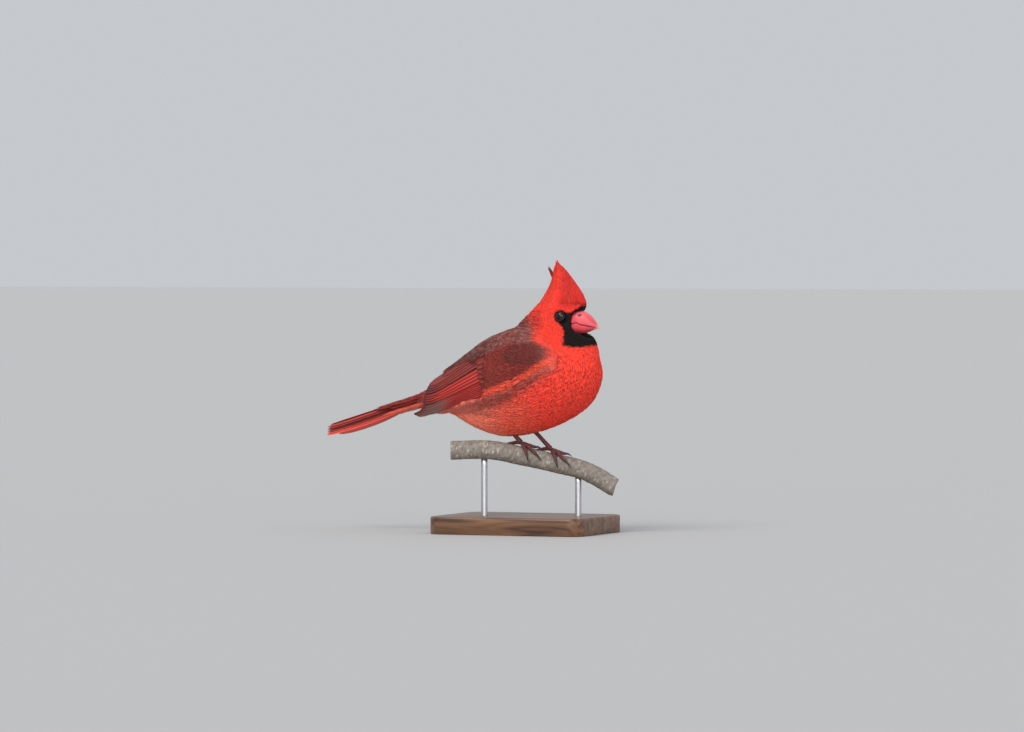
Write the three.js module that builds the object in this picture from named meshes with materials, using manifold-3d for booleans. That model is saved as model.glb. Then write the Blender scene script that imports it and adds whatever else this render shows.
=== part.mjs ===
// A male northern cardinal, life size, gripping a cut length of branch on a small display stand.
// Millimetres, +X the way the body faces, +Y its left, +Z up, origin at the middle of the base's underside.

import * as THREE from "three";
import { mergeVertices } from "three/addons/utils/BufferGeometryUtils.js";
import Module from "manifold-3d";

const wasm = await Module();
wasm.setup();

// Driving dimensions
const GAP = 0.3;
const EYE_HEIGHT = 148;
const BODY_OFFSET = 25;
const BASE = { length: 112, width: 84, height: 12, corner: 10 };
const BASE_TOP = BASE.height - EYE_HEIGHT;

// All lengths below are measured from the level of the eyes, on the midline of the body.
const HEAD_X = 5.1;
const HEAD_YAW = THREE.MathUtils.degToRad(8);
const EYE = { radius: 4.2, x: 0, y: 7.3, z: 0 };
const LID = { radius: 3.3, tube: 0.62, y: 10.1, stretch: [1.06, 0.9, 0.94], turn: 0.12 };
const CREST_FOOT = 11;

// Torso sections across the body: x, top, bottom, half width
const TORSO = [
  [29.5, -34, -44, 5],
  [27, -27, -50, 12],
  [22, -19.5, -59.5, 19],
  [13, -13, -67, 25],
  [0, -8, -74, 28],
  [-14, -5.5, -79, 28.5],
  [-28, -6.5, -82, 28.5],
  [-42, -10.5, -82.4, 27],
  [-54, -17.5, -79.6, 24.5],
  [-64, -26.5, -75.5, 21],
  [-74, -35.5, -69.5, 16.6],
  [-84, -43, -65.6, 12.6],
  [-94, -49, -64.2, 9.5],
  [-104, -53.5, -64.2, 6.5],
];
const TORSO_WIDEST = 0.48;

// Neck and head sections, level: z, back, front, half width, measured from the middle of the head
const HEAD = [
  [-44, -40, 18, 20],
  [-34, -42, 23, 22],
  [-26, -43, 23.6, 20.5],
  [-19, -43, 22.8, 17.2],
  [-13, -42, 20.6, 14.2],
  [-10.4, -40.5, 16, 13],
  [-7, -38, 14.2, 12],
  [-2, -33.5, 14, 11.2],
  [3, -27.5, 15.2, 10.4],
  [7, -23.2, 16, 9.2],
  [CREST_FOOT, -19.8, 14.8, 7.8],
  [17, -15.4, 11.4, 5.6],
  [24, -11.6, 6, 3.8],
  [32.5, -10, -1.3, 2],
  [38.6, -8.9, -7.9, 0.5],
];

// The two cuts that part head, neck and torso: a point on each, and its rise towards the tail
const HEAD_CUT = { x: -3, z: -12.5, tilt: THREE.MathUtils.degToRad(31) };
const NECK_CUT = { x: -5, z: -23, tilt: THREE.MathUtils.degToRad(21) };

// Bill sections: x from the middle of the head, tomium, outer edge, half width
const BILL_UPPER = [
  [6.5, -5.0, 3.0, 5.2],
  [10, -5.3, 3.9, 5.7],
  [14, -5.8, 3.4, 5.2],
  [18, -6.4, 1.2, 4.1],
  [21.5, -7.0, -2.2, 2.8],
  [24, -7.8, -5.4, 1.4],
  [25, -8.5, -7.4, 0.4],
];
const BILL_LOWER = [
  [6.5, -5.4, -11.6, 5.4],
  [10, -5.7, -11.8, 5.5],
  [14, -6.2, -11.4, 4.9],
  [18, -6.8, -10.4, 3.6],
  [21, -7.3, -9.2, 2.2],
  [23.2, -7.9, -8.5, 0.6],
];
const NOSTRIL = { x: 12.4, y: 5.1, z: 0.9, radius: 1.0 };

// Surface that the folded wing lies on: x, middle height, half width, half height
const WING_BED = [
  [6, -41, 26, 33],
  [-14, -42.5, 27.4, 36.5],
  [-28, -44.5, 27.4, 37],
  [-42, -46.5, 26.8, 35.8],
  [-54, -48.8, 25, 31.8],
  [-64, -51, 21.8, 26.8],
  [-74, -53.2, 18, 21.6],
  [-84, -55.6, 15, 17.6],
  [-94, -58.2, 13, 15.4],
  [-104, -61, 12, 14.4],
];
// Lower and upper edge of the folded wing round that surface, in degrees from level
const WING_EDGES = [
  [4, 10, 26],
  [-4, 4, 42],
  [-14, -2, 50],
  [-28, -9, 52],
  [-42, -13, 51],
  [-55, -17, 49],
  [-68, -20, 48],
  [-80, -25, 47],
  [-90, -29, 44],
  [-102, -34, 38],
];
// Thickness of the flesh of the wing: x, thickness out from the bed at the middle
const WING_CORE = [
  [5, 0.6],
  [-2, 3.2],
  [-12, 5.4],
  [-24, 6.0],
  [-36, 4.4],
  [-47, 2.0],
];

// Wing feathers: root x, tip x, place between the lower and upper edge, width, height off the bed, tilt
const TERTIALS = [
  [-26, -68, 0.94],
  [-26, -79, 0.89],
  [-26, -88, 0.82],
];
const SECONDARIES = [
  [-26, -92, 0.72],
  [-26, -93, 0.61],
  [-26, -93, 0.5],
  [-26, -92.5, 0.39],
];
const PRIMARIES = [
  [-28, -93, 0.3],
  [-28, -96.5, 0.24],
  [-28, -99, 0.18],
  [-28, -101, 0.12],
  [-28, -102, 0.06],
  [-28, -98, 0.0],
];
const FLIGHT = {
  primary: { width: 5.2, base: 2.1, tilt: 0.66 },
  secondary: { width: 6.4, base: 3.05, tilt: 0.33 },
  tertial: { width: 7.6, base: 3.25, tilt: 0.3 },
};
// Rows of coverts: how many, root x, tip x of the first and last, places of the first and last, and as above
const GREATER_COVERTS = {
  count: 8,
  root: -24,
  tips: [-44, -54],
  places: [0.08, 0.95],
  width: 5.6,
  base: 4.9,
  tilt: 0.22,
};
const MEDIAN_COVERTS = {
  count: 7,
  root: -13,
  tips: [-33, -40],
  places: [0.1, 0.93],
  width: 5.8,
  base: 6.0,
  tilt: 0.2,
};
const PRIMARY_COVERTS = {
  count: 3,
  root: -18,
  tips: [-50, -58],
  places: [-0.02, 0.07],
  width: 4.6,
  base: 3.6,
  tilt: 0.4,
};

const TAIL = {
  start: -95,
  coreEnd: -124,
  root: -106,
  tip: -171,
  rootHeight: -51.4,
  slope: THREE.MathUtils.degToRad(17.4),
  coreHalf: 6.2,
  coreThick: 5.2,
  tent: 0.26,
  pairs: 6,
  width: 8.2,
  layer: 0.84,
  first: 2.4,
  pitchRoot: 0.35,
  pitchTip: 1.55,
  shorter: 1.2,
};
const TAIL_COVERTS = { count: 5, spread: 2.3, width: 5.4, upperTip: -129, underTip: -133 };

// Branch: distance along it from where the feet grip, height of its middle; it runs 22 degrees off the body
const BRANCH_X = -19.7;
const BRANCH_TURN = THREE.MathUtils.degToRad(22);
const BRANCH = [
  [-56, -91.6],
  [-30, -91.2],
  [-7, -95.4],
  [16, -100.5],
  [38, -106.4],
  [56, -117],
];
const BRANCH_RADIUS = 6.6;
const ROD = { radius: 2.2, places: [-33, 31], sunk: 6 };

const TARSUS = { radius: 1.25, length: 22, lean: THREE.MathUtils.degToRad(45) };
const TOE_RADIUS = 1.2;
const GRIP_GAP = 0.45;
const FEET = { right: -10, left: 10 };
// Toes: name, turn from the branch in degrees, length, length of the claw
const TOES = [
  ["inner", 14, 10.5, 5],
  ["middle", 38, 14.5, 5.5],
  ["outer", 63, 11.5, 5],
  ["hind", 218, 9, 6.5],
];

// Materials
const finish = (color, roughness, metalness = 0) =>
  new THREE.MeshStandardMaterial({ color, roughness, metalness });
const SCARLET = finish(0xd8382e, 0.85);
const CREST_RED = finish(0xb72823, 0.85);
const WING_RED = finish(0x863a3a, 0.8);
const TAIL_RED = finish(0x7a2c28, 0.8);
const CORAL = finish(0xd85a5c, 0.4);
const EYE_BLACK = finish(0x08090d, 0.1);
const LEG_BROWN = finish(0x5a3232, 0.6);
const CLAW_BROWN = finish(0x2c2020, 0.4);
const BARK = finish(0x807c73, 0.95);
const WOOD = finish(0x6a4a30, 0.5);
const STEEL = finish(0xb8babc, 0.3, 1);

// A smooth curve through the rows of a table, one column against the first
function smooth(rows, column) {
  const sorted = [...rows].sort((a, b) => a[0] - b[0]);
  const at = sorted.map((row) => row[0]);
  const value = sorted.map((row) => row[column]);
  const last = at.length - 1;
  const slope = value.map((v, i) => {
    const before = Math.max(i - 1, 0);
    const after = Math.min(i + 1, last);
    return (value[after] - value[before]) / (at[after] - at[before]);
  });
  return (x) => {
    if (x <= at[0]) return value[0];
    if (x >= at[last]) return value[last];
    const i = at.findIndex((a) => a > x) - 1;
    const span = at[i + 1] - at[i];
    const t = (x - at[i]) / span;
    const rise = value[i + 1] - value[i];
    const start = slope[i] * span - rise;
    const end = rise - slope[i + 1] * span;
    return value[i] + rise * t + t * (1 - t) * (start * (1 - t) + end * t);
  };
}

const mix = THREE.MathUtils.lerp;
const steps = (count) => Array.from({ length: count + 1 }, (_, i) => i / count);

// A closed surface through rings of equal count, with a fan over each end
function loft(rings) {
  const count = rings[0].length;
  const middle = (ring) =>
    ring.reduce((sum, p) => sum.add(p), new THREE.Vector3()).divideScalar(count);
  const points = [...rings.flat(), middle(rings[0]), middle(rings.at(-1))];
  const first = points.length - 2;
  const index = [];
  rings.slice(1).forEach((_, r) => {
    for (let i = 0; i < count; i++) {
      const a = r * count + i;
      const b = r * count + ((i + 1) % count);
      index.push(a, b, b + count, a, b + count, a + count);
    }
  });
  const top = (rings.length - 1) * count;
  for (let i = 0; i < count; i++) {
    const next = (i + 1) % count;
    index.push(first, next, i, first + 1, top + i, top + next);
  }
  const geometry = new THREE.BufferGeometry().setFromPoints(points);
  geometry.setIndex(index);
  return geometry;
}

// A three.js geometry as a solid, facing out whichever way its faces ran
function solid(geometry) {
  const bare = geometry.clone();
  bare.deleteAttribute("normal");
  bare.deleteAttribute("uv");
  const merged = mergeVertices(bare, 1e-4);
  const build = (triVerts) =>
    new wasm.Manifold(
      new wasm.Mesh({
        numProp: 3,
        vertProperties: merged.attributes.position.array,
        triVerts,
      }),
    );
  const corners = new Uint32Array(merged.index.array);
  const made = build(corners);
  if (made.volume() > 0) return made;
  // The faces run inwards, so each triangle takes its corners in reverse
  const reversed = corners.map((_, i) => {
    const corner = i % 3;
    return corners[i - corner + (2 - corner)];
  });
  return build(reversed);
}

const union = (solids) => solids.reduce((all, one) => all.add(one));

const largest = (made) =>
  made.decompose().reduce((best, one) => (one.volume() > best.volume() ? one : best));

// The bird's own group stands at eye level over the base
const body = new THREE.Group();
body.position.set(BODY_OFFSET, 0, EYE_HEIGHT);
const model = new THREE.Group();
model.add(body);

function addNode(name, made, material, parent = body) {
  const mesh = largest(made).getMesh();
  const positions = new Float32Array(mesh.numVert * 3);
  for (let i = 0; i < mesh.numVert; i++) {
    const from = i * mesh.numProp;
    positions.set(mesh.vertProperties.subarray(from, from + 3), i * 3);
  }
  const geometry = new THREE.BufferGeometry();
  geometry.setAttribute("position", new THREE.BufferAttribute(positions, 3));
  geometry.setIndex(new THREE.BufferAttribute(mesh.triVerts, 1));
  geometry.computeVertexNormals();
  const node = new THREE.Mesh(geometry, material);
  node.name = name;
  parent.add(node);
}

// A round rod of varying radius along a path
function pipe(path, radii, sides, grow = 0) {
  let across = new THREE.Vector3(0, 1, 0.13).normalize();
  const rings = path.map((point, i) => {
    const before = path[Math.max(i - 1, 0)];
    const after = path[Math.min(i + 1, path.length - 1)];
    const along = after.clone().sub(before).normalize();
    across = across.sub(along.clone().multiplyScalar(across.dot(along))).normalize();
    const other = along.clone().cross(across);
    const push = grow * (i === 0 ? -1 : i === path.length - 1 ? 1 : 0);
    return steps(sides).slice(1).map((t) => {
      const angle = t * 2 * Math.PI;
      return point
        .clone()
        .addScaledVector(along, push)
        .addScaledVector(across, (radii[i] + grow) * Math.cos(angle))
        .addScaledVector(other, (radii[i] + grow) * Math.sin(angle));
    });
  });
  return solid(loft(rings));
}

// Stations of a feather blade: how far along, and the share of the full width there
const LONG_VANE = [
  [0, 0.55],
  [0.4, 0.9],
  [0.74, 1],
  [0.93, 0.68],
  [1, 0.22],
];
const SHORT_VANE = [
  [0, 0.7],
  [0.55, 1],
  [0.87, 0.72],
  [1, 0.22],
];
const VANE_THICK = 0.54;
const TIP_THIN = 0.6;

// A thin feather blade, split alike on both faces: place(s, t, out) runs root to tip and edge to edge

function vane(stations, place) {
  const last = stations.length - 1;
  const points = stations.flatMap(([s, reach], i) => {
    const out = (VANE_THICK / 2) * (i === last ? TIP_THIN : 1);
    return [place(s, -reach, out), place(s, reach, out), place(s, -reach, -out), place(s, reach, -out)];
  });
  const index = [];
  for (let i = 0; i < last; i++) {
    const [upperL, upperR, lowerL, lowerR] = [0, 1, 2, 3].map((k) => 4 * i + k);
    const [nextUpperL, nextUpperR, nextLowerL, nextLowerR] = [4, 5, 6, 7].map((k) => 4 * i + k);
    index.push(upperL, upperR, nextUpperR, upperL, nextUpperR, nextUpperL);
    index.push(lowerL, nextLowerR, lowerR, lowerL, nextLowerL, nextLowerR);
    index.push(upperL, nextUpperL, nextLowerL, upperL, nextLowerL, lowerL);
    index.push(upperR, lowerR, nextLowerR, upperR, nextLowerR, nextUpperR);
  }
  const end = 4 * last;
  index.push(0, 2, 3, 0, 3, 1, end, end + 1, end + 3, end, end + 3, end + 2);
  const geometry = new THREE.BufferGeometry().setFromPoints(points);
  geometry.setIndex(index);
  return solid(geometry);
}

const ease = (t) => THREE.MathUtils.smoothstep(t, 0, 1);

// Torso
const TORSO_STEPS = 18;
const RING = 24;
// Sections stand closer over the round breast
const BREAST_CROWDING = 0.72;
const torsoAt = [1, 2, 3].map((column) => smooth(TORSO, column));

function torso(grow) {
  const front = TORSO[0][0];
  const back = TORSO.at(-1)[0];
  const rings = steps(TORSO_STEPS).map((t) => {
    const crowded = t < 0.5 ? mix(t, 2 * t * t, BREAST_CROWDING) : t;
    const x = mix(front, back, crowded);
    const [top, bottom, half] = torsoAt.map((f) => f(x));
    const middle = mix(bottom, top, TORSO_WIDEST);
    const push = grow * (t === 0 ? 1 : t === 1 ? -1 : 0);
    return steps(RING).slice(1).map((turn) => {
      const angle = turn * 2 * Math.PI;
      const up = Math.sin(angle);
      const rise = up > 0 ? top - middle : middle - bottom;
      return new THREE.Vector3(
        x + push,
        (half + grow) * Math.cos(angle),
        middle + (rise + grow) * up,
      );
    });
  });
  return solid(loft(rings));
}

// Head, neck and crest in one; the yaw grows from the shoulders to the head
const YAW_FROM = -30;
const YAW_TO = -8;
const HEAD_ROUND = 0.85;

function headPoint(x, y, z, turn = 1) {
  const yaw = HEAD_YAW * turn;
  return new THREE.Vector3(
    HEAD_X + x * Math.cos(yaw) + y * Math.sin(yaw),
    y * Math.cos(yaw) - x * Math.sin(yaw),
    z,
  );
}

const headAt = [1, 2, 3].map((column) => smooth(HEAD, column));

function headRing(z, grow, scale = 1) {
  const [back, front, half] = headAt.map((f) => f(z));
  const turn = THREE.MathUtils.smoothstep(z, YAW_FROM, YAW_TO);
  const reach = ((front - back) / 2) * scale + grow;
  const middle = (front + back) / 2;
  return steps(RING).slice(1).map((t) => {
    const angle = t * 2 * Math.PI;
    const side = Math.sin(angle);
    const y = Math.sign(side) * Math.abs(side) ** HEAD_ROUND * (half * scale + grow);
    return headPoint(middle + reach * Math.cos(angle), y, z, turn);
  });
}

const HEAD_LEVELS = [-44, -34, -26, -19, -13, -10.4, -7, -2, 3, 7, CREST_FOOT, 13];
const headNeck = (grow) => solid(loft(HEAD_LEVELS.map((z) => headRing(z, grow))));

// Everything on the upper side of a tilted cut
const FAR = 400;
function above(cut, lift = 0) {
  const box = new THREE.BoxGeometry(FAR, FAR, FAR);
  box.translate(0, 0, FAR / 2 + lift);
  box.rotateY(cut.tilt);
  box.translate(cut.x, 0, cut.z);
  return solid(box);
}

const CREST_CUT = { x: 0, z: CREST_FOOT, tilt: 0 };
const whole = torso(0).add(headNeck(0));
const cover = torso(GAP).add(headNeck(GAP));

// Bill
function billHalf(table, grow) {
  const up = Math.sign(table[0][2] - table[0][1]);
  const rings = table.map(([x, tomium, edge, half], i) => {
    const push = grow * (i === 0 ? -1 : i === table.length - 1 ? 1 : 0);
    const wide = half + grow;
    const level = tomium - up * grow;
    const height = edge - tomium + 2 * up * grow;
    const flat = steps(3).slice(1, 3).map((t) => [mix(-wide, wide, t), level]);
    const arch = steps(8).map((t) => {
      const angle = t * Math.PI;
      return [wide * Math.cos(angle), level + height * Math.sin(angle) ** HEAD_ROUND];
    });
    return [...arch, ...flat].map(([y, z]) => headPoint(x + push, y, z));
  });
  return solid(loft(rings));
}

function ball(radius, x, y, z, stretch = 1) {
  const geometry = new THREE.SphereGeometry(radius, 14, 8);
  geometry.scale(stretch, 1, 1);
  const at = headPoint(x, y, z);
  geometry.rotateZ(-HEAD_YAW);
  geometry.translate(at.x, at.y, at.z);
  return solid(geometry);
}

// A lid ring, longer than high, turned a little forward with the side of the face
function lid(side) {
  const geometry = new THREE.TorusGeometry(LID.radius, LID.tube, 6, 16);
  geometry.rotateX(Math.PI / 2);
  geometry.scale(...LID.stretch);
  geometry.rotateZ(-side * LID.turn - HEAD_YAW);
  const at = headPoint(EYE.x, side * LID.y, EYE.z);
  geometry.translate(at.x, at.y, at.z);
  return solid(geometry);
}

const SIDES = { left: 1, right: -1 };
const upperBill = billHalf(BILL_UPPER, 0);
const lowerBill = billHalf(BILL_LOWER, 0);
const billRoom = billHalf(BILL_UPPER, GAP).add(billHalf(BILL_LOWER, GAP));

addNode("torso", whole.subtract(above(NECK_CUT, -GAP)), SCARLET);
addNode("neck", whole.intersect(above(NECK_CUT)).subtract(above(HEAD_CUT, -GAP)), SCARLET);

let head = whole.intersect(above(HEAD_CUT)).subtract(above(CREST_CUT, -GAP));
for (const side of Object.values(SIDES)) {
  head = head.add(lid(side)).subtract(ball(EYE.radius + GAP, EYE.x, side * EYE.y, EYE.z));
}
addNode("head", head.subtract(billRoom), SCARLET);

for (const [name, side] of Object.entries(SIDES)) {
  addNode(`eye_${name}`, ball(EYE.radius, EYE.x, side * EYE.y, EYE.z), EYE_BLACK);
}

const nostrils = Object.values(SIDES).map((side) =>
  ball(NOSTRIL.radius, NOSTRIL.x, side * NOSTRIL.y, NOSTRIL.z, 1.5),
);
addNode("bill_upper", upperBill.subtract(union(nostrils)), CORAL);
addNode("bill_lower", lowerBill.subtract(billHalf(BILL_UPPER, GAP)), CORAL);

// Crest: a low core and three rows of feathers on each side, raised to a peak
// Rows: feathers, root height, tip height, place of the first and last from back to front, width, out
const CREST_ROWS = [
  { count: 5, root: 12, tip: [19, 24.5], place: [0.1, 0.88], width: 5.6, out: 1.5 },
  { count: 4, root: 14.5, tip: [26, 32], place: [0.1, 0.88], width: 4.8, out: 0.75 },
  { count: 3, root: 18, tip: [32, 38.8], place: [0.15, 0.85], width: 3.6, out: 0.35 },
];
const CREST_CORE = { levels: [CREST_FOOT, 14, 17, 20, 23.5], narrow: 0.86, top: 0.55 };
const CREST_TILT = 0.2;
// The loose feather behind the peak: x and height of its root and tip from the middle of the head, half width
const WISP = { root: [-8, 21], tip: [-14.7, 35], half: 1.5 };

// A point of the crest: height, place from back to front, distance along x, and out from its side
function crestPoint(z, place, along, out, side) {
  const [back, front, half] = headAt.map((f) => f(z));
  const x = mix(back, front, place) + along;
  const middle = (front + back) / 2;
  const reach = Math.max((front - back) / 2, 1);
  const round = Math.sqrt(Math.max(1 - ((x - middle) / reach) ** 2, 0.04));
  return headPoint(x, side * (half * CREST_CORE.narrow * round + out), z);
}

function crestVane(row, i, side) {
  const t = i / (row.count - 1);
  const place = mix(row.place[0], row.place[1], t);
  const tip = mix(row.tip[0], row.tip[1], Math.sin(Math.PI * mix(0.15, 0.75, t)));
  const half = row.width / 2;
  return vane(SHORT_VANE, (s, across, out) => {
    const z = mix(row.root, tip, s);
    const drift = mix(place, mix(place, 0.5, 0.25), s);
    const lift = mix(-1, row.out, ease(s * 3)) + CREST_TILT * half * -across;
    return crestPoint(z, drift, across * half, lift + out, side);
  });
}

function wispVane() {
  return vane(SHORT_VANE, (s, across, out) => {
    const x = mix(WISP.root[0], WISP.tip[0], s ** 1.5) + across * WISP.half;
    return headPoint(x, out, mix(WISP.root[1], WISP.tip[1], s));
  });
}

function crestSolid() {
  const core = solid(
    loft(
      CREST_CORE.levels.map((z, i) =>
        headRing(z, 0, mix(1, CREST_CORE.top, (i / (CREST_CORE.levels.length - 1)) ** 2)),
      ),
    ),
  );
  const feathers = [];
  for (const row of CREST_ROWS) {
    for (let i = 0; i < row.count; i++) {
      feathers.push(crestVane(row, i, SIDES.left), crestVane(row, i, SIDES.right));
    }
  }
  return union([core, wispVane(), ...feathers]);
}
addNode("crest", crestSolid(), CREST_RED);

// Wings
const bedAt = [1, 2, 3].map((column) => smooth(WING_BED, column));
const edgeAt = [1, 2].map((column) => smooth(WING_EDGES, column));

// A point of the wing: along the body, round it in degrees, and out from the bed
function wingPoint(x, degrees, out, side) {
  const [middle, half, rise] = bedAt.map((f) => f(x));
  const angle = THREE.MathUtils.degToRad(degrees);
  return new THREE.Vector3(
    x,
    side * (half + out) * Math.cos(angle),
    middle + (rise + out) * Math.sin(angle),
  );
}

const coreThick = smooth(WING_CORE, 1);

// How far the flesh of the wing stands off the bed, thinner towards both edges
const CORE_EDGE = 0.14;
function coreOut(x, place) {
  const inside = THREE.MathUtils.clamp(place, 0, 1);
  return coreThick(x) * Math.sin(Math.PI * mix(CORE_EDGE, 1 - CORE_EDGE, inside));
}

const WING_SUNK = 1.5;
const LEAST_LIFT = 0.65;

function wingCore(side) {
  const front = WING_CORE[0][0];
  const back = WING_CORE.at(-1)[0];
  const rings = steps(9).map((t) => {
    const x = mix(front, back, t);
    const [low, high] = edgeAt.map((f) => f(x));
    const outer = steps(7).map((s) => wingPoint(x, mix(low, high, s), coreOut(x, s), side));
    const inner = steps(5).map((s) => wingPoint(x, mix(high, low, s), -WING_SUNK, side));
    return [...outer, ...inner];
  });
  return solid(loft(rings));
}

function wingVane([root, tip, place], kind, side) {
  const half = kind.width / 2;
  return vane(tip < -60 ? LONG_VANE : SHORT_VANE, (s, across, out) => {
    const x = mix(root, tip, s);
    const [low, high] = edgeAt.map((f) => f(x));
    const [, wide, rise] = bedAt.map((f) => f(x));
    const turn = THREE.MathUtils.radToDeg((across * half) / ((wide + rise) / 2));
    const buried = coreOut(root, place) * 0.5;
    const lift = mix(buried, kind.base, ease(s * 3)) - kind.tilt * across * half;
    return wingPoint(x, mix(low, high, place) + turn, Math.max(lift, LEAST_LIFT) + out, side);
  });
}

function covertRow(row) {
  return Array.from({ length: row.count }, (_, i) => {
    const t = i / (row.count - 1);
    return [row.root, mix(...row.tips, t), mix(...row.places, t)];
  });
}

function wingSolid(side) {
  const rows = [
    [PRIMARIES, FLIGHT.primary],
    [SECONDARIES, FLIGHT.secondary],
    [TERTIALS, FLIGHT.tertial],
    [covertRow(PRIMARY_COVERTS), PRIMARY_COVERTS],
    [covertRow(GREATER_COVERTS), GREATER_COVERTS],
    [covertRow(MEDIAN_COVERTS), MEDIAN_COVERTS],
  ];
  const feathers = rows.flatMap(([list, kind]) => list.map((feather) => wingVane(feather, kind, side)));
  return union([wingCore(side), ...feathers]).subtract(cover);
}
for (const [name, side] of Object.entries(SIDES)) {
  addNode(`wing_${name}`, wingSolid(side), WING_RED);
}

// Tail: a short core, six pairs of feathers laid like roof tiles, and coverts above and below
function tailPoint(x, y, out) {
  const z = TAIL.rootHeight + (x - TAIL.start) * Math.tan(TAIL.slope);
  return new THREE.Vector3(x, y, z - TAIL.tent * Math.abs(y) + out);
}

function tailCore() {
  const rings = steps(4).map((t) => {
    const x = mix(TAIL.start, TAIL.coreEnd, t);
    const half = TAIL.coreHalf * mix(1, 0.7, t);
    const thick = TAIL.coreThick * mix(1, 0.5, t);
    const drop = mix(0, 0.9, t);
    const top = steps(6).map((s) => tailPoint(x, mix(-half, half, s), -drop));
    const under = steps(6).map((s) => tailPoint(x, mix(half, -half, s) * 0.9, -drop - thick));
    return [...top, ...under];
  });
  return solid(loft(rings));
}

function tailVane(pair, side) {
  const half = TAIL.width / 2;
  const tip = TAIL.tip + TAIL.shorter * pair;
  const lift = pair === 0 && side > 0 ? TAIL.layer : 0;
  return vane(SHORT_VANE, (s, across, out) => {
    const x = mix(TAIL.root, tip, s);
    const middle = mix(TAIL.first * 0.6, TAIL.first, s) + pair * mix(TAIL.pitchRoot, TAIL.pitchTip, s);
    const y = side * (middle + across * half * mix(0.5, 1, ease(s * 1.6)));
    return tailPoint(x, y, out + lift - 1.2 - TAIL.layer * pair * mix(0.75, 1, s));
  });
}

function tailCovert(i, under) {
  const off = i - (TAIL_COVERTS.count - 1) / 2;
  const half = TAIL_COVERTS.width / 2;
  const tip = (under ? TAIL_COVERTS.underTip : TAIL_COVERTS.upperTip) + 2.4 * Math.abs(off);
  const sign = under ? -1 : 1;
  const level = under ? -8.2 : 1.1;
  return vane(SHORT_VANE, (s, across, out) => {
    const x = mix(TAIL.root + 0.4, tip, s);
    const y = off * TAIL_COVERTS.spread * mix(0.7, 1.1, s) + across * half;
    const fall = sign * (0.1 * off - 0.85 * Math.abs(off));
    const rise = mix(under ? -3.6 : -0.8, level, ease(s * 1.8)) + fall;
    return tailPoint(x, y, rise + out);
  });
}

function tailSolid() {
  const feathers = [];
  for (let pair = 0; pair < TAIL.pairs; pair++) {
    feathers.push(tailVane(pair, 1), tailVane(pair, -1));
  }
  for (let i = 0; i < TAIL_COVERTS.count; i++) {
    feathers.push(tailCovert(i, false), tailCovert(i, true));
  }
  return union([tailCore(), ...feathers]).subtract(torso(GAP));
}
addNode("tail", tailSolid(), TAIL_RED);

// Branch
const branchCurve = new THREE.CatmullRomCurve3(
  BRANCH.map(([along, z]) =>
    new THREE.Vector3(
      BRANCH_X + along * Math.cos(BRANCH_TURN),
      along * Math.sin(BRANCH_TURN),
      z,
    ),
  ),
);
const branchNear = new THREE.Vector3(Math.sin(BRANCH_TURN), -Math.cos(BRANCH_TURN), 0);

function branchAt(along) {
  const span = branchCurve.getLength();
  const from = BRANCH[0][0];
  const to = BRANCH.at(-1)[0];
  let t = (along - from) / (to - from);
  for (let i = 0; i < 6; i++) {
    const p = branchCurve.getPointAt(THREE.MathUtils.clamp(t, 0, 1));
    const reached = (p.x - BRANCH_X) / Math.cos(BRANCH_TURN);
    t += (along - reached) / span;
  }
  const u = THREE.MathUtils.clamp(t, 0, 1);
  const point = branchCurve.getPointAt(u);
  const tangent = branchCurve.getTangentAt(u);
  return { point, up: branchNear.clone().cross(tangent).normalize() };
}

const BRANCH_STEPS = 18;
const BRANCH_SIDES = 12;
function branch(grow) {
  const path = steps(BRANCH_STEPS).map((t) => branchCurve.getPointAt(t));
  const radii = path.map(() => BRANCH_RADIUS);
  return pipe(path, radii, BRANCH_SIDES, grow);
}
const perchRoom = branch(GAP);
addNode("perch", branch(0), BARK);

// Legs, feet and claws
function gripPoint(foot, turn, along, lift) {
  const angle = THREE.MathUtils.degToRad(turn);
  const { point, up } = branchAt(foot + along * Math.cos(angle));
  const round = (along * Math.sin(angle)) / (BRANCH_RADIUS + TOE_RADIUS);
  const out = BRANCH_RADIUS + TOE_RADIUS + GRIP_GAP + lift;
  return point
    .addScaledVector(up, out * Math.cos(round))
    .addScaledVector(branchNear, out * Math.sin(round));
}

function toePath(foot, [, turn, length]) {
  return steps(7).map((t) => gripPoint(foot, turn, t * length, 0.5 * (1 - t) ** 2));
}

function clawPath(foot, [, turn, length, claw]) {
  return steps(6).map((t) => {
    const lift = 0.9 * Math.sin(Math.PI * t) - 0.5 * t;
    return gripPoint(foot, turn, length + GAP + t * claw, lift);
  });
}

function footSolid(foot, grow) {
  const toes = TOES.map((toe) => {
    const radii = steps(7).map((t) => TOE_RADIUS * mix(1.1, 0.85, t));
    return pipe(toePath(foot, toe), radii, 8, grow);
  });
  return union(toes);
}

function tarsusSolid(foot) {
  const start = gripPoint(foot, 0, 0, 0.9);
  const lean = new THREE.Vector3(-Math.cos(TARSUS.lean), 0, Math.sin(TARSUS.lean));
  const path = steps(6).map((t) => start.clone().addScaledVector(lean, t * TARSUS.length));
  const radii = steps(6).map((t) => TARSUS.radius * mix(1.15, 1, Math.sin(Math.PI * t)));
  return pipe(path, radii, 10);
}

const bodyRoom = torso(GAP);
for (const [name, foot] of Object.entries(FEET)) {
  addNode(`foot_${name}`, footSolid(foot, 0), LEG_BROWN);
  const shank = tarsusSolid(foot).subtract(footSolid(foot, GAP)).subtract(bodyRoom);
  addNode(`tarsus_${name}`, shank, LEG_BROWN);
  for (const toe of TOES) {
    const path = clawPath(foot, toe);
    const radii = steps(6).map((t) => mix(TOE_RADIUS * 0.78, 0.14, t ** 1.2));
    addNode(`claw_${name}_${toe[0]}`, pipe(path, radii, 8), CLAW_BROWN);
  }
}

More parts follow.
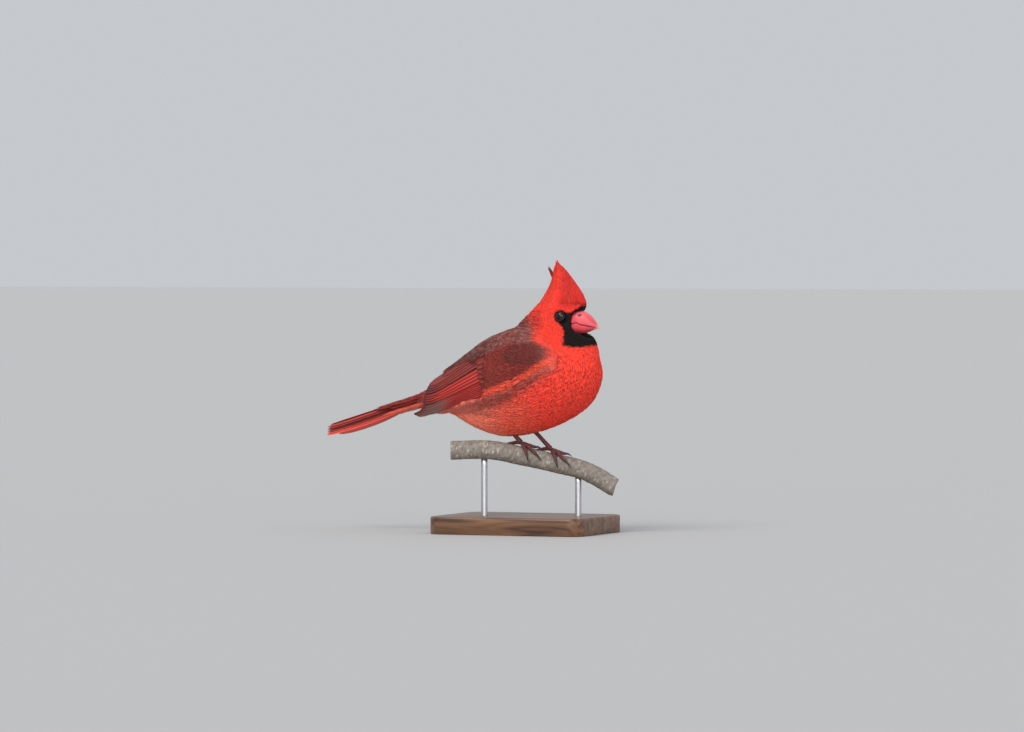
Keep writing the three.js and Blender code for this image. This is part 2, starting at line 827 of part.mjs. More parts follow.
// Stand
function baseShape() {
  const { length, width, corner } = BASE;
  const shape = new THREE.Shape();
  const x = length / 2 - corner;
  const y = width / 2 - corner;
  shape.absarc(x, y, corner, 0, Math.PI / 2);
  shape.absarc(-x, y, corner, Math.PI / 2, Math.PI);
  shape.absarc(-x, -y, corner, Math.PI, 1.5 * Math.PI);
  shape.absarc(x, -y, corner, 1.5 * Math.PI, 2 * Math.PI);
  return shape;
}

function rodSolid(along, grow) {
  const { point } = branchAt(along);
  const from = BASE_TOP - ROD.sunk - grow;
  const height = point.z - from;
  const geometry = new THREE.CylinderGeometry(ROD.radius + grow, ROD.radius + grow, height, 20);
  geometry.rotateX(Math.PI / 2);
  geometry.translate(point.x, point.y, from + height / 2);
  return solid(geometry);
}

const slab = new THREE.ExtrudeGeometry(baseShape(), {
  depth: BASE.height,
  bevelEnabled: false,
  curveSegments: 5,
});
slab.translate(-BODY_OFFSET, 0, -EYE_HEIGHT);
let base = solid(slab);
ROD.places.forEach((along, i) => {
  base = base.subtract(rodSolid(along, GAP));
  addNode(`stand_rod_${i + 1}`, rodSolid(along, 0).subtract(perchRoom), STEEL);
});
addNode("stand_base", base, WOOD);

export default model;
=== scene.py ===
"""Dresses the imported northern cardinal: skin, feathers, bill, eyes, legs, perch, stand, camera and light."""

import math

import bmesh
import bpy
import numpy as np
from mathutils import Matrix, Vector
from mathutils.bvhtree import BVHTree


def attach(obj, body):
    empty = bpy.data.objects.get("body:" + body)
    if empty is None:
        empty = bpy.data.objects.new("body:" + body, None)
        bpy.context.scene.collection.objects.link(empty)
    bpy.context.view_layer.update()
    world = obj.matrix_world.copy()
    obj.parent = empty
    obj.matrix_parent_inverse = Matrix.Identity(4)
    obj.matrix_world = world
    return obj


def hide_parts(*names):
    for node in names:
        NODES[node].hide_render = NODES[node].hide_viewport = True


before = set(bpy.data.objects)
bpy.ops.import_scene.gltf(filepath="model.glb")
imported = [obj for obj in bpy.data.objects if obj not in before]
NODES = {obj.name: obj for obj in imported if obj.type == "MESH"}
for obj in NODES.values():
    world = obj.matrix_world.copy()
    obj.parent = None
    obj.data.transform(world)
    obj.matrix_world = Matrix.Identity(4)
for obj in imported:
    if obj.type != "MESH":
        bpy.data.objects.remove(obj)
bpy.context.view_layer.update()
RANDOM = np.random.default_rng(7)

# Lengths are in millimetres from the level of the eyes on the midline of the body, as in the solids.
MM = 0.001
ORIGIN = np.array([25.0, 0.0, 148.0])
HEAD_X = 5.1
HEAD_YAW = math.radians(8)
SIDES = {"left": 1, "right": -1}


# Helpers


def to_frame(points):
    """Millimetres of the bird to metres of the frame."""
    return (np.asarray(points, float) + ORIGIN) * MM


def to_bird(points):
    """Metres of the frame to millimetres of the bird."""
    return np.asarray(points, float) / MM - ORIGIN


def head_point(x, y, z):
    """A point given from the middle of the head, turned with it."""
    x, y, z = np.broadcast_arrays(np.asarray(x, float), y, z)
    cos, sin = math.cos(HEAD_YAW), math.sin(HEAD_YAW)
    return np.stack([HEAD_X + x * cos + y * sin, y * cos - x * sin, z], axis=-1)


def in_head(points):
    """Bird points as seen from the middle of the head."""
    points = np.asarray(points, float)
    cos, sin = math.cos(HEAD_YAW), math.sin(HEAD_YAW)
    x, y = points[..., 0] - HEAD_X, points[..., 1]
    return np.stack([x * cos - y * sin, x * sin + y * cos, points[..., 2]], axis=-1)


def smooth(rows, column):
    """A smooth curve through one column of a table, against its first."""
    rows = sorted(rows)
    at = np.array([row[0] for row in rows], float)
    value = np.array([row[column] for row in rows], float)
    before = np.maximum(np.arange(len(at)) - 1, 0)
    after = np.minimum(np.arange(len(at)) + 1, len(at) - 1)
    slope = (value[after] - value[before]) / (at[after] - at[before])

    def curve(x):
        x = np.clip(x, at[0], at[-1])
        i = np.clip(np.searchsorted(at, x, side="right") - 1, 0, len(at) - 2)
        span = at[i + 1] - at[i]
        t = (x - at[i]) / span
        rise = value[i + 1] - value[i]
        start = slope[i] * span - rise
        end = rise - slope[i + 1] * span
        return value[i] + rise * t + t * (1 - t) * (start * (1 - t) + end * t)

    return curve


def mix(a, b, t):
    return a + (b - a) * t


def ease(t):
    t = np.clip(t, 0, 1)
    return t * t * (3 - 2 * t)


def unit(v):
    v = np.asarray(v, float)
    return v / np.maximum(np.linalg.norm(v, axis=-1, keepdims=True), 1e-9)


def linear(*rgb):
    """An sRGB colour of 0 to 255 as linear light."""
    c = np.array(rgb, float) / 255
    return np.where(c <= 0.04045, c / 12.92, ((c + 0.055) / 1.055) ** 2.4)


# Camera, floor and light

CAMERA_AZIMUTH = 22
CAMERA_ELEVATION = 1.2
CAMERA_DISTANCE = 4.0
MM_PER_PIXEL = 0.68
PHOTO_WIDTH = 1024
SENSOR_WIDTH = 36
CLIP_END = 50
# Where the camera aims: millimetres to the right of the body's middle at the eyes, and above it
AIM_RIGHT = -32.4
AIM_UP = -33.9
SKY = {"color": (0.78, 0.81, 0.85, 1), "strength": 0.72}
# Suns: name, azimuth, elevation and angle in degrees, strength, colour
SUNS = [
    ("key", -15, 48, 35, 1.6, (1.0, 0.98, 0.95)),
    ("fill", 80, 28, 60, 0.5, (0.94, 0.97, 1.0)),
    ("low", 20, 3, 60, 2.1, (1.0, 0.98, 0.97)),
]
GROUND = {"size": 40, "color": (0.46, 0.46, 0.46, 1), "roughness": 0.9}


def direction(azimuth, elevation):
    """The way from the part towards an azimuth and an elevation in degrees."""
    a, e = math.radians(azimuth), math.radians(elevation)
    return Vector((math.sin(a) * math.cos(e), -math.cos(a) * math.cos(e), math.sin(e)))


def add_turned(name, data, away):
    """A camera or light in the scene that looks against the given way."""
    obj = bpy.data.objects.new(name, data)
    obj.rotation_mode = "QUATERNION"
    obj.rotation_quaternion = (-away).to_track_quat("-Z", "Y")
    bpy.context.scene.collection.objects.link(obj)
    return obj


def make_camera():
    turn = math.radians(CAMERA_AZIMUTH)
    right = np.array([math.cos(turn), math.sin(turn), 0])
    aim = Vector(to_frame(right * AIM_RIGHT + np.array([0, 0, AIM_UP])))
    back = direction(CAMERA_AZIMUTH, CAMERA_ELEVATION)
    data = bpy.data.cameras.new("camera")
    data.sensor_width = SENSOR_WIDTH
    data.lens = SENSOR_WIDTH * CAMERA_DISTANCE / (PHOTO_WIDTH * MM_PER_PIXEL * MM)
    data.clip_end = CLIP_END
    camera = add_turned("camera", data, back)
    camera.location = aim + back * CAMERA_DISTANCE
    bpy.context.scene.camera = camera


def make_sun(name, azimuth, elevation, angle, strength, color):
    data = bpy.data.lights.new(name, "SUN")
    data.angle = math.radians(angle)
    data.energy = strength
    data.color = color
    add_turned(name, data, direction(azimuth, elevation))


def make_studio():
    scene = bpy.context.scene
    scene.view_settings.view_transform = "Standard"
    world = bpy.data.worlds.new("studio")
    world.use_nodes = True
    background = world.node_tree.nodes["Background"]
    background.inputs["Color"].default_value = SKY["color"]
    background.inputs["Strength"].default_value = SKY["strength"]
    scene.world = world
    for sun in SUNS:
        make_sun(*sun)
    bpy.ops.mesh.primitive_plane_add(size=GROUND["size"], location=(0, 0, 0))
    floor = bpy.context.object
    floor.name = "floor"
    material, shader, _ = new_material("floor_paint", GROUND["roughness"])
    shader.inputs["Base Color"].default_value = GROUND["color"]
    floor.data.materials.append(material)


# Materials

# Where most of a noise texture's values lie
NOISE_RANGE = (0.3, 0.7)


def new_material(name, roughness):
    """A material with its shader and a function that adds linked nodes."""
    material = bpy.data.materials.new(name)
    material.use_nodes = True
    tree = material.node_tree
    shader = tree.nodes["Principled BSDF"]
    shader.inputs["Roughness"].default_value = roughness

    def add(kind, links=(), **values):
        node = tree.nodes.new(kind)
        for key, value in values.items():
            if hasattr(node, key):
                setattr(node, key, value)
            else:
                node.inputs[key].default_value = value
        for socket, source in links:
            tree.links.new(source, node.inputs[socket])
        return node

    return material, shader, add


def dress(shader, color, bump):
    """Gives a shader its colour and its bump."""
    links = shader.id_data.links
    links.new(color.outputs["Color"], shader.inputs["Base Color"])
    links.new(bump.outputs["Normal"], shader.inputs["Normal"])


def remap(add, source, low, high, least, most):
    """A value stretched from one range to another."""
    node = add("ShaderNodeMapRange", [("Value", source)])
    for socket, value in (("From Min", low), ("From Max", high), ("To Min", least), ("To Max", most)):
        node.inputs[socket].default_value = value
    return node.outputs["Result"]


def marked_material(name, roughness, grain_scale, contrast, bump_strength, bump_depth, specular=0.3):
    """A material that takes its colour from the mesh's own markings, with fine grain and bump over them."""
    material, shader, add = new_material(name, roughness)
    place = add("ShaderNodeTexCoord").outputs["Object"]
    marks = add("ShaderNodeAttribute", attribute_name="Markings").outputs["Color"]
    grain = add("ShaderNodeTexNoise", [("Vector", place)], Scale=grain_scale, Detail=3.0).outputs["Fac"]
    value = remap(add, grain, *NOISE_RANGE, 1 - contrast, 1 + contrast)
    tinted = add("ShaderNodeHueSaturation", [("Color", marks), ("Value", value)])
    bump = add("ShaderNodeBump", [("Height", grain)], Strength=bump_strength, Distance=bump_depth * MM)
    dress(shader, tinted, bump)
    shader.inputs["Specular IOR Level"].default_value = specular
    return material, shader


def plumage_material():
    material, shader = marked_material("plumage", 0.78, 900, 0.12, 0.2, 0.15, specular=0.2)
    shader.inputs["Sheen Weight"].default_value = 0.07
    shader.inputs["Sheen Roughness"].default_value = 0.5
    shader.inputs["Sheen Tint"].default_value = (1.0, 0.6, 0.5, 1)
    return material


# Millimetres from one barb of a vane to the next
BARB_PITCH = 0.55


def vane_material():
    """Flight feathers: markings, with barbs that slant back from the shaft as bump and shade."""
    material, shader, add = new_material("vane", 0.6)
    marks = add("ShaderNodeAttribute", attribute_name="Markings").outputs["Color"]
    barbs = add("ShaderNodeUVMap", uv_map="Barbs").outputs["UV"]
    parts = add("ShaderNodeSeparateXYZ", [("Vector", barbs)])
    slant = add("ShaderNodeMath", [(0, parts.outputs["X"])], operation="ABSOLUTE")
    place = add("ShaderNodeMath", [(0, parts.outputs["Y"]), (1, slant.outputs[0])], operation="SUBTRACT")
    turn = add("ShaderNodeMath", [(0, place.outputs[0])], operation="MULTIPLY")
    turn.inputs[1].default_value = 2 * math.pi / BARB_PITCH
    wave = add("ShaderNodeMath", [(0, turn.outputs[0])], operation="SINE").outputs[0]
    noise = add("ShaderNodeTexNoise", [("Vector", barbs)], Scale=0.9, Detail=3.0).outputs["Fac"]
    both = add("ShaderNodeMath", [(0, wave), (1, noise)], operation="MULTIPLY").outputs[0]
    value = remap(add, both, -0.5, 0.5, 0.9, 1.1)
    tinted = add("ShaderNodeHueSaturation", [("Color", marks), ("Value", value)])
    bump = add("ShaderNodeBump", [("Height", wave)], Strength=0.35, Distance=0.1 * MM)
    dress(shader, tinted, bump)
    shader.inputs["Specular IOR Level"].default_value = 0.3
    return material


def mesh_points(mesh):
    co = np.empty(len(mesh.vertices) * 3, np.float32)
    mesh.vertices.foreach_get("co", co)
    return co.reshape(-1, 3).astype(float)


def mesh_triangles(mesh):
    mesh.calc_loop_triangles()
    index = np.empty(len(mesh.loop_triangles) * 3, np.int32)
    mesh.loop_triangles.foreach_get("vertices", index)
    return index.reshape(-1, 3)


def set_markings(mesh, colors):
    layer = mesh.color_attributes.new("Markings", "FLOAT_COLOR", "POINT")
    rgba = np.ones((len(colors), 4), np.float32)
    rgba[:, :3] = colors
    layer.data.foreach_set("color", rgba.ravel())


def set_map(mesh, name, uv_of_vertex):
    layer = mesh.uv_layers.new(name=name)
    loops = np.empty(len(mesh.loops), np.int32)
    mesh.loops.foreach_get("vertex_index", loops)
    layer.data.foreach_set("uv", uv_of_vertex[loops].astype(np.float32).ravel())


def add_piece(name, mesh, material, nodes=()):
    """A piece of the dressed part, riding on the body and in place of its nodes."""
    mesh.materials.append(material)
    mesh.shade_smooth()
    obj = bpy.data.objects.new(name, mesh)
    bpy.context.scene.collection.objects.link(obj)
    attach(obj, "root")
    if nodes:
        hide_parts(*nodes)
    return obj


def closed_rings(shapes):
    """Points and faces of closed surfaces, each given as its rings, with both ends capped."""
    points, faces = [], []
    base = 0
    for rings in shapes:
        count, sides = rings.shape[:2]
        points.append(rings.reshape(-1, 3))
        ring = np.arange(sides)
        after = (ring + 1) % sides
        for k in range(count - 1):
            a = base + k * sides
            quads = np.stack([a + ring, a + after, a + sides + after, a + sides + ring], axis=1)
            faces.extend(quads.tolist())
        faces.append((base + ring[::-1]).tolist())
        faces.append((base + (count - 1) * sides + ring).tolist())
        base += count * sides
    return np.concatenate(points), faces


def closed_mesh(name, points, faces):
    """A mesh of bird points whose faces all look outwards."""
    mesh = bpy.data.meshes.new(name)
    mesh.from_pydata(to_frame(points).tolist(), [], faces)
    build = bmesh.new()
    build.from_mesh(mesh)
    bmesh.ops.recalc_face_normals(build, faces=build.faces)
    build.to_mesh(mesh)
    build.free()
    return mesh


def ring_piece(name, shapes, colors, material, nodes=()):
    """A piece of closed shapes, each given as its rings, with a colour for each point or none at all."""
    mesh = closed_mesh(name, *closed_rings(shapes))
    if colors is not None:
        set_markings(mesh, np.concatenate([c.reshape(-1, 3) for c in colors]))
    return add_piece(name, mesh, material, nodes)


def circle(sides):
    """Turns round a ring, without the last, which is the first again."""
    return np.linspace(0, 2 * math.pi, sides, endpoint=False)


def round_about(centre, up, side, reach, turns):
    """Points at a reach and a turn about a centre, turned from up towards the side."""
    return centre + up * (reach * np.cos(turns))[..., None] + side * (reach * np.sin(turns))[..., None]


def tube(path, radii, sides, shape=None):
    """Rings round a path; shape gives the radius again by turn and place along, if it varies."""
    path = np.asarray(path, float)
    ways = unit(np.gradient(path, axis=0))
    across = unit(np.array([0, 1, 0.13]))
    rings = []
    turns = circle(sides)
    for i, (point, way, radius) in enumerate(zip(path, ways, radii)):
        across = unit(across - way * (across @ way))
        reach = radius * np.ones(sides)
        if shape is not None:
            reach = reach * shape(turns, i / (len(path) - 1))
        rings.append(round_about(point, across, np.cross(way, across), reach, turns))
    return np.array(rings)


# Tables repeated from the solids, and the surfaces that they describe

# Head and crest: height, rear, front, half width
HEAD = [
    [-44, -40, 18, 20], [-34, -42, 23, 22], [-26, -43, 23.6, 20.5], [-19, -43, 22.8, 17.2],
    [-13, -42, 20.6, 14.2], [-10.4, -40.5, 16, 13], [-7, -38, 14.2, 12], [-2, -33.5, 14, 11.2],
    [3, -27.5, 15.2, 10.4], [7, -23.2, 16, 9.2], [11, -19.8, 14.8, 7.8], [17, -15.4, 11.4, 5.6],
    [24, -11.6, 6, 3.8], [32.5, -10, -1.3, 2], [38.6, -8.9, -7.9, 0.5],
]
HEAD_BACK, HEAD_FRONT, HEAD_HALF = (smooth(HEAD, column) for column in (1, 2, 3))
CREST_PEAK = 38.6


def head_surface(z, angle, out):
    """A point of the head and crest: height, turn from the front, and distance out."""
    back, front, half = HEAD_BACK(z), HEAD_FRONT(z), HEAD_HALF(z)
    reach = (front - back) / 2 + out
    side = np.sin(angle)
    y = np.sign(side) * np.abs(side) ** 0.85 * np.maximum(half + out, 0.05)
    return head_point((front + back) / 2 + np.maximum(reach, 0.05) * np.cos(angle), y, z)


# Bed of the wing: x, height of its middle, half width, rise
WING_BED = [
    [6, -41, 26, 33], [-14, -42.5, 27.4, 36.5], [-28, -44.5, 27.4, 37], [-42, -46.5, 26.8, 35.8],
    [-54, -48.8, 25, 31.8], [-64, -51, 21.8, 26.8], [-74, -53.2, 18, 21.6], [-84, -55.6, 15, 17.6],
    [-94, -58.2, 13, 15.4], [-104, -61, 12, 14.4],
]
# Edges of the wing on its bed: x, then the lower and upper edge in degrees
WING_EDGES = [
    [4, 10, 26], [-4, 4, 42], [-14, -2, 50], [-28, -9, 52], [-42, -13, 51],
    [-55, -17, 49], [-68, -20, 48], [-80, -25, 47], [-90, -29, 44], [-102, -34, 38],
]
# Thickness of the wing's core over the bed, against x
WING_CORE = [[5, 0.6], [-2, 3.2], [-12, 5.4], [-24, 6.0], [-36, 4.4], [-47, 2.0]]
BED_MIDDLE, BED_HALF, BED_RISE = (smooth(WING_BED, column) for column in (1, 2, 3))
EDGE_LOW, EDGE_HIGH = (smooth(WING_EDGES, column) for column in (1, 2))
CORE_THICK = smooth(WING_CORE, 1)
# Where the wing's vanes begin to show, and the height of their top off the bed, against x
VANES_FROM = -24
VANE_TOP = smooth([[-100, 3.2], [-60, 3.6], [-52, 4.6], [-42, 5.3], [-28, 5.9], [-14, 4.6], [4, 0.4]], 1)


def wing_point(x, degrees, out, side):
    """A point of the wing: along the body, round it in degrees, and out from the bed."""
    angle = np.radians(degrees)
    y = side * (BED_HALF(x) + out) * np.cos(angle)
    z = BED_MIDDLE(x) + (BED_RISE(x) + out) * np.sin(angle)
    x, y, z = np.broadcast_arrays(x, y, z)
    return np.stack([x, y, z], axis=-1)


def wing_degrees(x, place):
    """The degrees round the bed of a place from 0 at the wing's lower edge to 1 at its upper."""
    return mix(EDGE_LOW(x), EDGE_HIGH(x), place)


def place_at(x, degrees):
    return (degrees - EDGE_LOW(x)) / (EDGE_HIGH(x) - EDGE_LOW(x))


def place_of(x, z):
    """Place between the wing's edges of the spot at a height on its bed."""
    level = np.clip((z - BED_MIDDLE(x)) / BED_RISE(x), -0.98, 0.98)
    return place_at(x, np.degrees(np.arcsin(level)))


def core_out(x, place):
    return CORE_THICK(x) * np.sin(math.pi * mix(0.14, 0.86, np.clip(place, 0, 1)))


TAIL = {
    "start": -95, "core_end": -124, "root": -106, "tip": -171, "root_height": -51.4,
    "slope": math.radians(17.4), "core_half": 6.2, "core_thick": 5.2, "tent": 0.26,
    "pairs": 6, "width": 8.2, "layer": 0.84, "first": 2.4, "pitch_root": 0.35, "pitch_tip": 1.55,
    "shorter": 0.6, "depth": 1.2, "sag": 0.38, "droop": 0.85,
}


def tail_point(x, y, out):
    z = TAIL["root_height"] + (x - TAIL["start"]) * math.tan(TAIL["slope"]) - TAIL["tent"] * np.abs(y) + out
    x, y, z = np.broadcast_arrays(x, y, z)
    return np.stack([x, y, z], axis=-1)


BRANCH_X = -19.7
BRANCH_TURN = math.radians(22)
BRANCH = [[-56, -91.6], [-30, -91.2], [-7, -95.4], [16, -100.5], [38, -106.4], [56, -117]]
BRANCH_RADIUS = 6.6
BRANCH_HEIGHT = smooth(BRANCH, 1)
BRANCH_NEAR = np.array([math.sin(BRANCH_TURN), -math.cos(BRANCH_TURN), 0])
TOE_RADIUS = 1.2
GRIP_GAP = 0.45


def branch_point(along):
    along = np.asarray(along, float)
    x = BRANCH_X + along * math.cos(BRANCH_TURN)
    return np.stack([x, along * math.sin(BRANCH_TURN), BRANCH_HEIGHT(along)], axis=-1)


def branch_up(along):
    way = unit(branch_point(along + 0.1) - branch_point(along - 0.1))
    return unit(np.cross(np.broadcast_to(BRANCH_NEAR, way.shape), way))


def grip_point(foot, turn, along, lift):
    """A point over the branch where a toe lies, from where its foot stands."""
    angle = math.radians(turn)
    along = np.asarray(along, float)
    at = foot + along * math.cos(angle)
    turned = along * math.sin(angle) / (BRANCH_RADIUS + TOE_RADIUS)
    out = BRANCH_RADIUS + TOE_RADIUS + GRIP_GAP + lift
    return round_about(branch_point(at), branch_up(at), BRANCH_NEAR, out, turned)


# Markings of the plumage

SCARLET = linear(248, 58, 46)
BRIGHT = linear(255, 72, 56)
CHEEK = linear(255, 70, 52)
# Painted shade on the front of the crest and painted light on its back, standing for its shaded and lit faces
CREST_FRONT_SHADE = linear(196, 38, 33)
CREST_BACK_LIGHT = linear(232, 64, 50)
NAPE = linear(218, 64, 52)
MANTLE = linear(140, 60, 53)
FRINGE = linear(136, 118, 114)
RUMP = linear(158, 62, 56)
FLANK = linear(242, 92, 70)
FLANK_SHADE = linear(184, 76, 64)
VENT = linear(255, 132, 108)
BLACK = linear(11, 10, 12)

# Edges of the black mask on the side of the head: rear by height, top and bottom by place along
MASK_REAR = smooth(
    [[-24, 9.5], [-21, 6.4], [-15, 4.6], [-10.7, 3.4], [-7.4, 1.6], [-3.7, -1.2], [0, -2.4], [4, -1]], 1
)
MASK_TOP = smooth([[2, 3.2], [5, 2.8], [7, 2.9], [9.3, 4.4], [11.7, 6.2], [14.2, 7.4], [17, 6.6]], 1)
MASK_BOTTOM = smooth([[2, -17.5], [8, -20.2], [16, -21.2], [24, -19.5]], 1)
EYE_RING = 3.9


def soft(value, edge):
    """1 well above zero, 0 well below, over the width of an edge."""
    return ease(value / edge + 0.5)


def mask_share(points, wobble):
    """How much a point is in the black mask round the bill and eyes."""
    h = in_head(points)
    x, z = h[..., 0], h[..., 2]
    inside = np.minimum(x - MASK_REAR(z), MASK_TOP(x) - z)
    inside = np.minimum(inside, z - MASK_BOTTOM(x))
    ring = EYE_RING - np.hypot(x, z * 1.08)
    return soft(np.maximum(inside, ring) + wobble * 0.6, 0.8)


def painter(color):
    """A function that mixes another colour into an array of colours."""

    def paint(other, share):
        color[...] = color + (other - color) * np.clip(share, 0, 1)[..., None]

    return paint


# Lower edge of the visible folded wing, against x, where the flank feathers cover it
WING_LINE = smooth(
    [[-98, -67.7], [-78, -62.8], [-63, -58.5], [-43, -54], [-22, -46], [-2.4, -34], [6, -29]], 1
)
# The line above which the back begins, from the rump to the nape, and the same on the wing
BACK_LINE = ([-104, -70, -45, -20, 0], [-60, -40, -28, -20, -12])
WING_BACK_LINE = ([-70, -45, -25, -8, 6], [-36, -25, -17, -17, -24])
# Front edge of the dull mantle, against z
MANTLE_FRONT = smooth([[-40, 9], [-36, 7], [-28, 2], [-21, -1.5], [-16, -10.5], [-4.4, -19.5], [4, -24]], 1)


def plumage_color(points, wobble):
    """The colour of the small feathers at bird points; wobble is a random number from -1 to 1 for each."""
    points = np.asarray(points, float)
    x, z = points[..., 0], points[..., 2]
    h = in_head(points)
    color = np.broadcast_to(SCARLET, points.shape).copy()
    paint = painter(color)
    paint(BRIGHT, soft(x + 6 - 0.2 * z, 26) * soft(-z - 14, 16))
    paint(FLANK, soft(-x - 14, 26) * soft(-z - 52, 16))
    paint(VENT, soft(-x - 40, 26) * soft(-z - 58, 12))
    below_wing = WING_LINE(x) - z
    shade = soft(below_wing + 3, 4) * soft(8 - below_wing, 12) * soft(8 - x, 12) * soft(x + 58, 18)
    paint(FLANK_SHADE, 0.62 * shade)
    paint(FRINGE, 0.4 * shade * soft(wobble - 0.2, 0.6))
    back = z - np.interp(x, *BACK_LINE)
    paint(NAPE, soft(back + 5, 9) * soft(-x - 6, 16) * soft(2 - z, 10))
    behind = MANTLE_FRONT(z) - x
    paint(MANTLE, soft(back + 3, 9) * soft(behind - 1, 7) * soft(-z - 1, 8))
    paint(RUMP, soft(-x - 66, 12) * soft(back + 2, 6))
    fringed = soft(behind + 1, 8) * soft(-z - 2, 10) * soft(x + 88, 16)
    paint(FRINGE, 0.6 * soft(back + 2, 8) * fringed * soft(wobble, 0.7))
    paint(CHEEK, soft(h[..., 0] + 14, 8) * soft(z + 24, 10) * soft(4 - z, 6))
    # Painted shade on the crest's front, painted light on its back
    paint(CREST_FRONT_SHADE, 0.8 * soft(z - 8, 8) * soft(h[..., 0] + 3, 10))
    paint(CREST_BACK_LIGHT, soft(z - 7, 8) * soft(-h[..., 0] - 6, 8))
    color *= (1 + 0.09 * wobble)[..., None]
    share = mask_share(points, wobble)[..., None]
    return color + (BLACK * (1 + 0.3 * wobble[..., None]) - color) * share


# Skin: the torso, neck and head as one surface, inside them by the depth of the coat

SKIN_VOXEL = 0.9
SEAM = 0.45
COAT_DEPTH = 1.2
RELAX = {"iterations": 14, "factor": 0.6}
SKIN_SHADE = 0.95
SKIN_WOBBLE = 0.3
# The core under the feathers is darker than they are
CORE_SHADE = 0.8


def inflate(mesh, amount):
    """Moves each vertex along its normal, in millimetres."""
    co = np.empty(len(mesh.vertices) * 3, np.float32)
    normals = np.empty(len(mesh.vertices) * 3, np.float32)
    mesh.vertices.foreach_get("co", co)
    mesh.vertex_normals.foreach_get("vector", normals)
    mesh.vertices.foreach_set("co", co + normals * amount * MM)
    mesh.update()


# The face is drawn back round the base of the bill, in a hollow with a rim that ends before the front
BILL_HOLLOW = {"z": -4.0, "half": 7.8, "rise": 8.3, "back": 7.0, "front": 17, "rim": 0.36}


def sunk_at_bill(points):
    h = in_head(points)
    off = np.hypot(h[:, 1] / BILL_HOLLOW["half"], (h[:, 2] - BILL_HOLLOW["z"]) / BILL_HOLLOW["rise"])
    limit = mix(BILL_HOLLOW["back"], BILL_HOLLOW["front"], ease((off - 1) / BILL_HOLLOW["rim"]))
    inside = (h[:, 0] > 0) & (off < 1 + BILL_HOLLOW["rim"])
    sunk = np.minimum(h[:, 0], np.where(inside, limit, np.inf))
    return head_point(sunk, h[:, 1], h[:, 2])


def make_skin(material):
    build = bmesh.new()
    for name in ("torso", "neck", "head"):
        copy = NODES[name].data.copy()
        fused = bmesh.new()
        fused.from_mesh(copy)
        bmesh.ops.remove_doubles(fused, verts=fused.verts, dist=1e-6)
        fused.to_mesh(copy)
        fused.free()
        inflate(copy, SEAM)
        build.from_mesh(copy)
        bpy.data.meshes.remove(copy)
    mesh = bpy.data.meshes.new("skin")
    build.to_mesh(mesh)
    build.free()
    holder = bpy.data.objects.new("skin_shape", mesh)
    bpy.context.scene.collection.objects.link(holder)
    remesh = holder.modifiers.new("remesh", "REMESH")
    remesh.mode = "VOXEL"
    remesh.voxel_size = SKIN_VOXEL * MM
    relax = holder.modifiers.new("relax", "SMOOTH")
    relax.iterations = RELAX["iterations"]
    relax.factor = RELAX["factor"]
    bpy.context.view_layer.update()
    final = bpy.data.meshes.new_from_object(holder.evaluated_get(bpy.context.evaluated_depsgraph_get()))
    bpy.data.objects.remove(holder)
    final.name = "skin"
    inflate(final, -(SEAM + COAT_DEPTH))
    final.materials.clear()
    points = sunk_at_bill(to_bird(mesh_points(final)))
    final.vertices.foreach_set("co", to_frame(points).astype(np.float32).ravel())
    final.update()
    wobble = RANDOM.uniform(-SKIN_WOBBLE, SKIN_WOBBLE, len(points))
    set_markings(final, plumage_color(points, wobble) * SKIN_SHADE)
    set_map(final, "OFBake", unwrap(points))
    return add_piece("skin", final, material, ("torso", "neck", "head"))


# The body's own unwrap: turn about its axis, and length along it

AXIS = np.array(
    [(-4, 40), (-1, 10), (0, -14), (-8, -28), (-20, -40), (-40, -47), (-70, -54), (-104, -59), (-172, -80)],
    float,
)


def unwrap(points):
    """Place of bird points on an unwrap of the body."""
    points = np.asarray(points, float)
    flat = points[:, [0, 2]]
    starts, ends = AXIS[:-1], AXIS[1:]
    lengths = np.linalg.norm(ends - starts, axis=1)
    before = np.concatenate([[0], np.cumsum(lengths)[:-1]])
    best = np.full(len(points), np.inf)
    along = np.zeros(len(points))
    above = np.zeros(len(points))
    for start, end, length, base in zip(starts, ends, lengths, before):
        step = (end - start) / length
        offset = flat - start
        t = np.clip(offset @ step, 0, length)
        distance = np.linalg.norm(offset - t[:, None] * step, axis=1)
        nearer = distance < best
        best = np.where(nearer, distance, best)
        along = np.where(nearer, base + t, along)
        side = step[1] * offset[:, 0] - step[0] * offset[:, 1]
        above = np.where(nearer, side, above)
    turn = np.arctan2(points[:, 1], above) / (2 * math.pi) + 0.5
    return np.stack([turn, along / lengths.sum()], axis=1)


# Small feathers: each is a few slender closed strands, laid over the skin from its root

# The lie of the coat: place from the side, and the way the feathers run there
LIE = np.array(
    [
        (17, 5, -0.3, 0.95), (12, 12, -0.45, 0.89), (4, 12, -0.6, 0.8), (-4, 12, -0.7, 0.7),
        (-10, 9, -0.85, 0.35), (-18, 5, -0.8, -0.6), (-10, 0, -0.9, -0.4), (14, -1, -0.9, 0.4),
        (6, 2, -0.95, 0.3), (2, -5, -0.9, -0.44), (14, -13, -0.25, -0.97), (22, -16, 0.0, -1.0),
        (27, -30, -0.05, -1.0), (24, -48, -0.5, -0.87), (12, -62, -0.9, -0.45), (8, -25, -0.55, -0.83),
        (-5, -14, -0.85, -0.53), (-30, -10, -0.93, -0.36), (-52, -20, -0.82, -0.57),
        (-78, -42, -0.84, -0.54), (-102, -56, -0.95, -0.31), (-12, -42, -0.85, -0.53),
        (-38, -52, -0.94, -0.33), (-20, -78, -1.0, -0.05), (-58, -76, -0.96, 0.28),
        (-78, -66, -0.93, 0.3), (-100, -63, -0.99, -0.1),
    ]
)


def lie_at(points):
    """The way the coat runs at bird points, before it is laid on the surface."""
    flat = points[:, None, [0, 2]] - LIE[None, :, :2]
    weight = 1 / (np.sum(flat**2, axis=2) + 4) ** 2
    way = weight @ LIE[:, 2:] / weight.sum(axis=1, keepdims=True)
    return np.stack([way[:, 0], np.zeros(len(points)), way[:, 1]], axis=1)


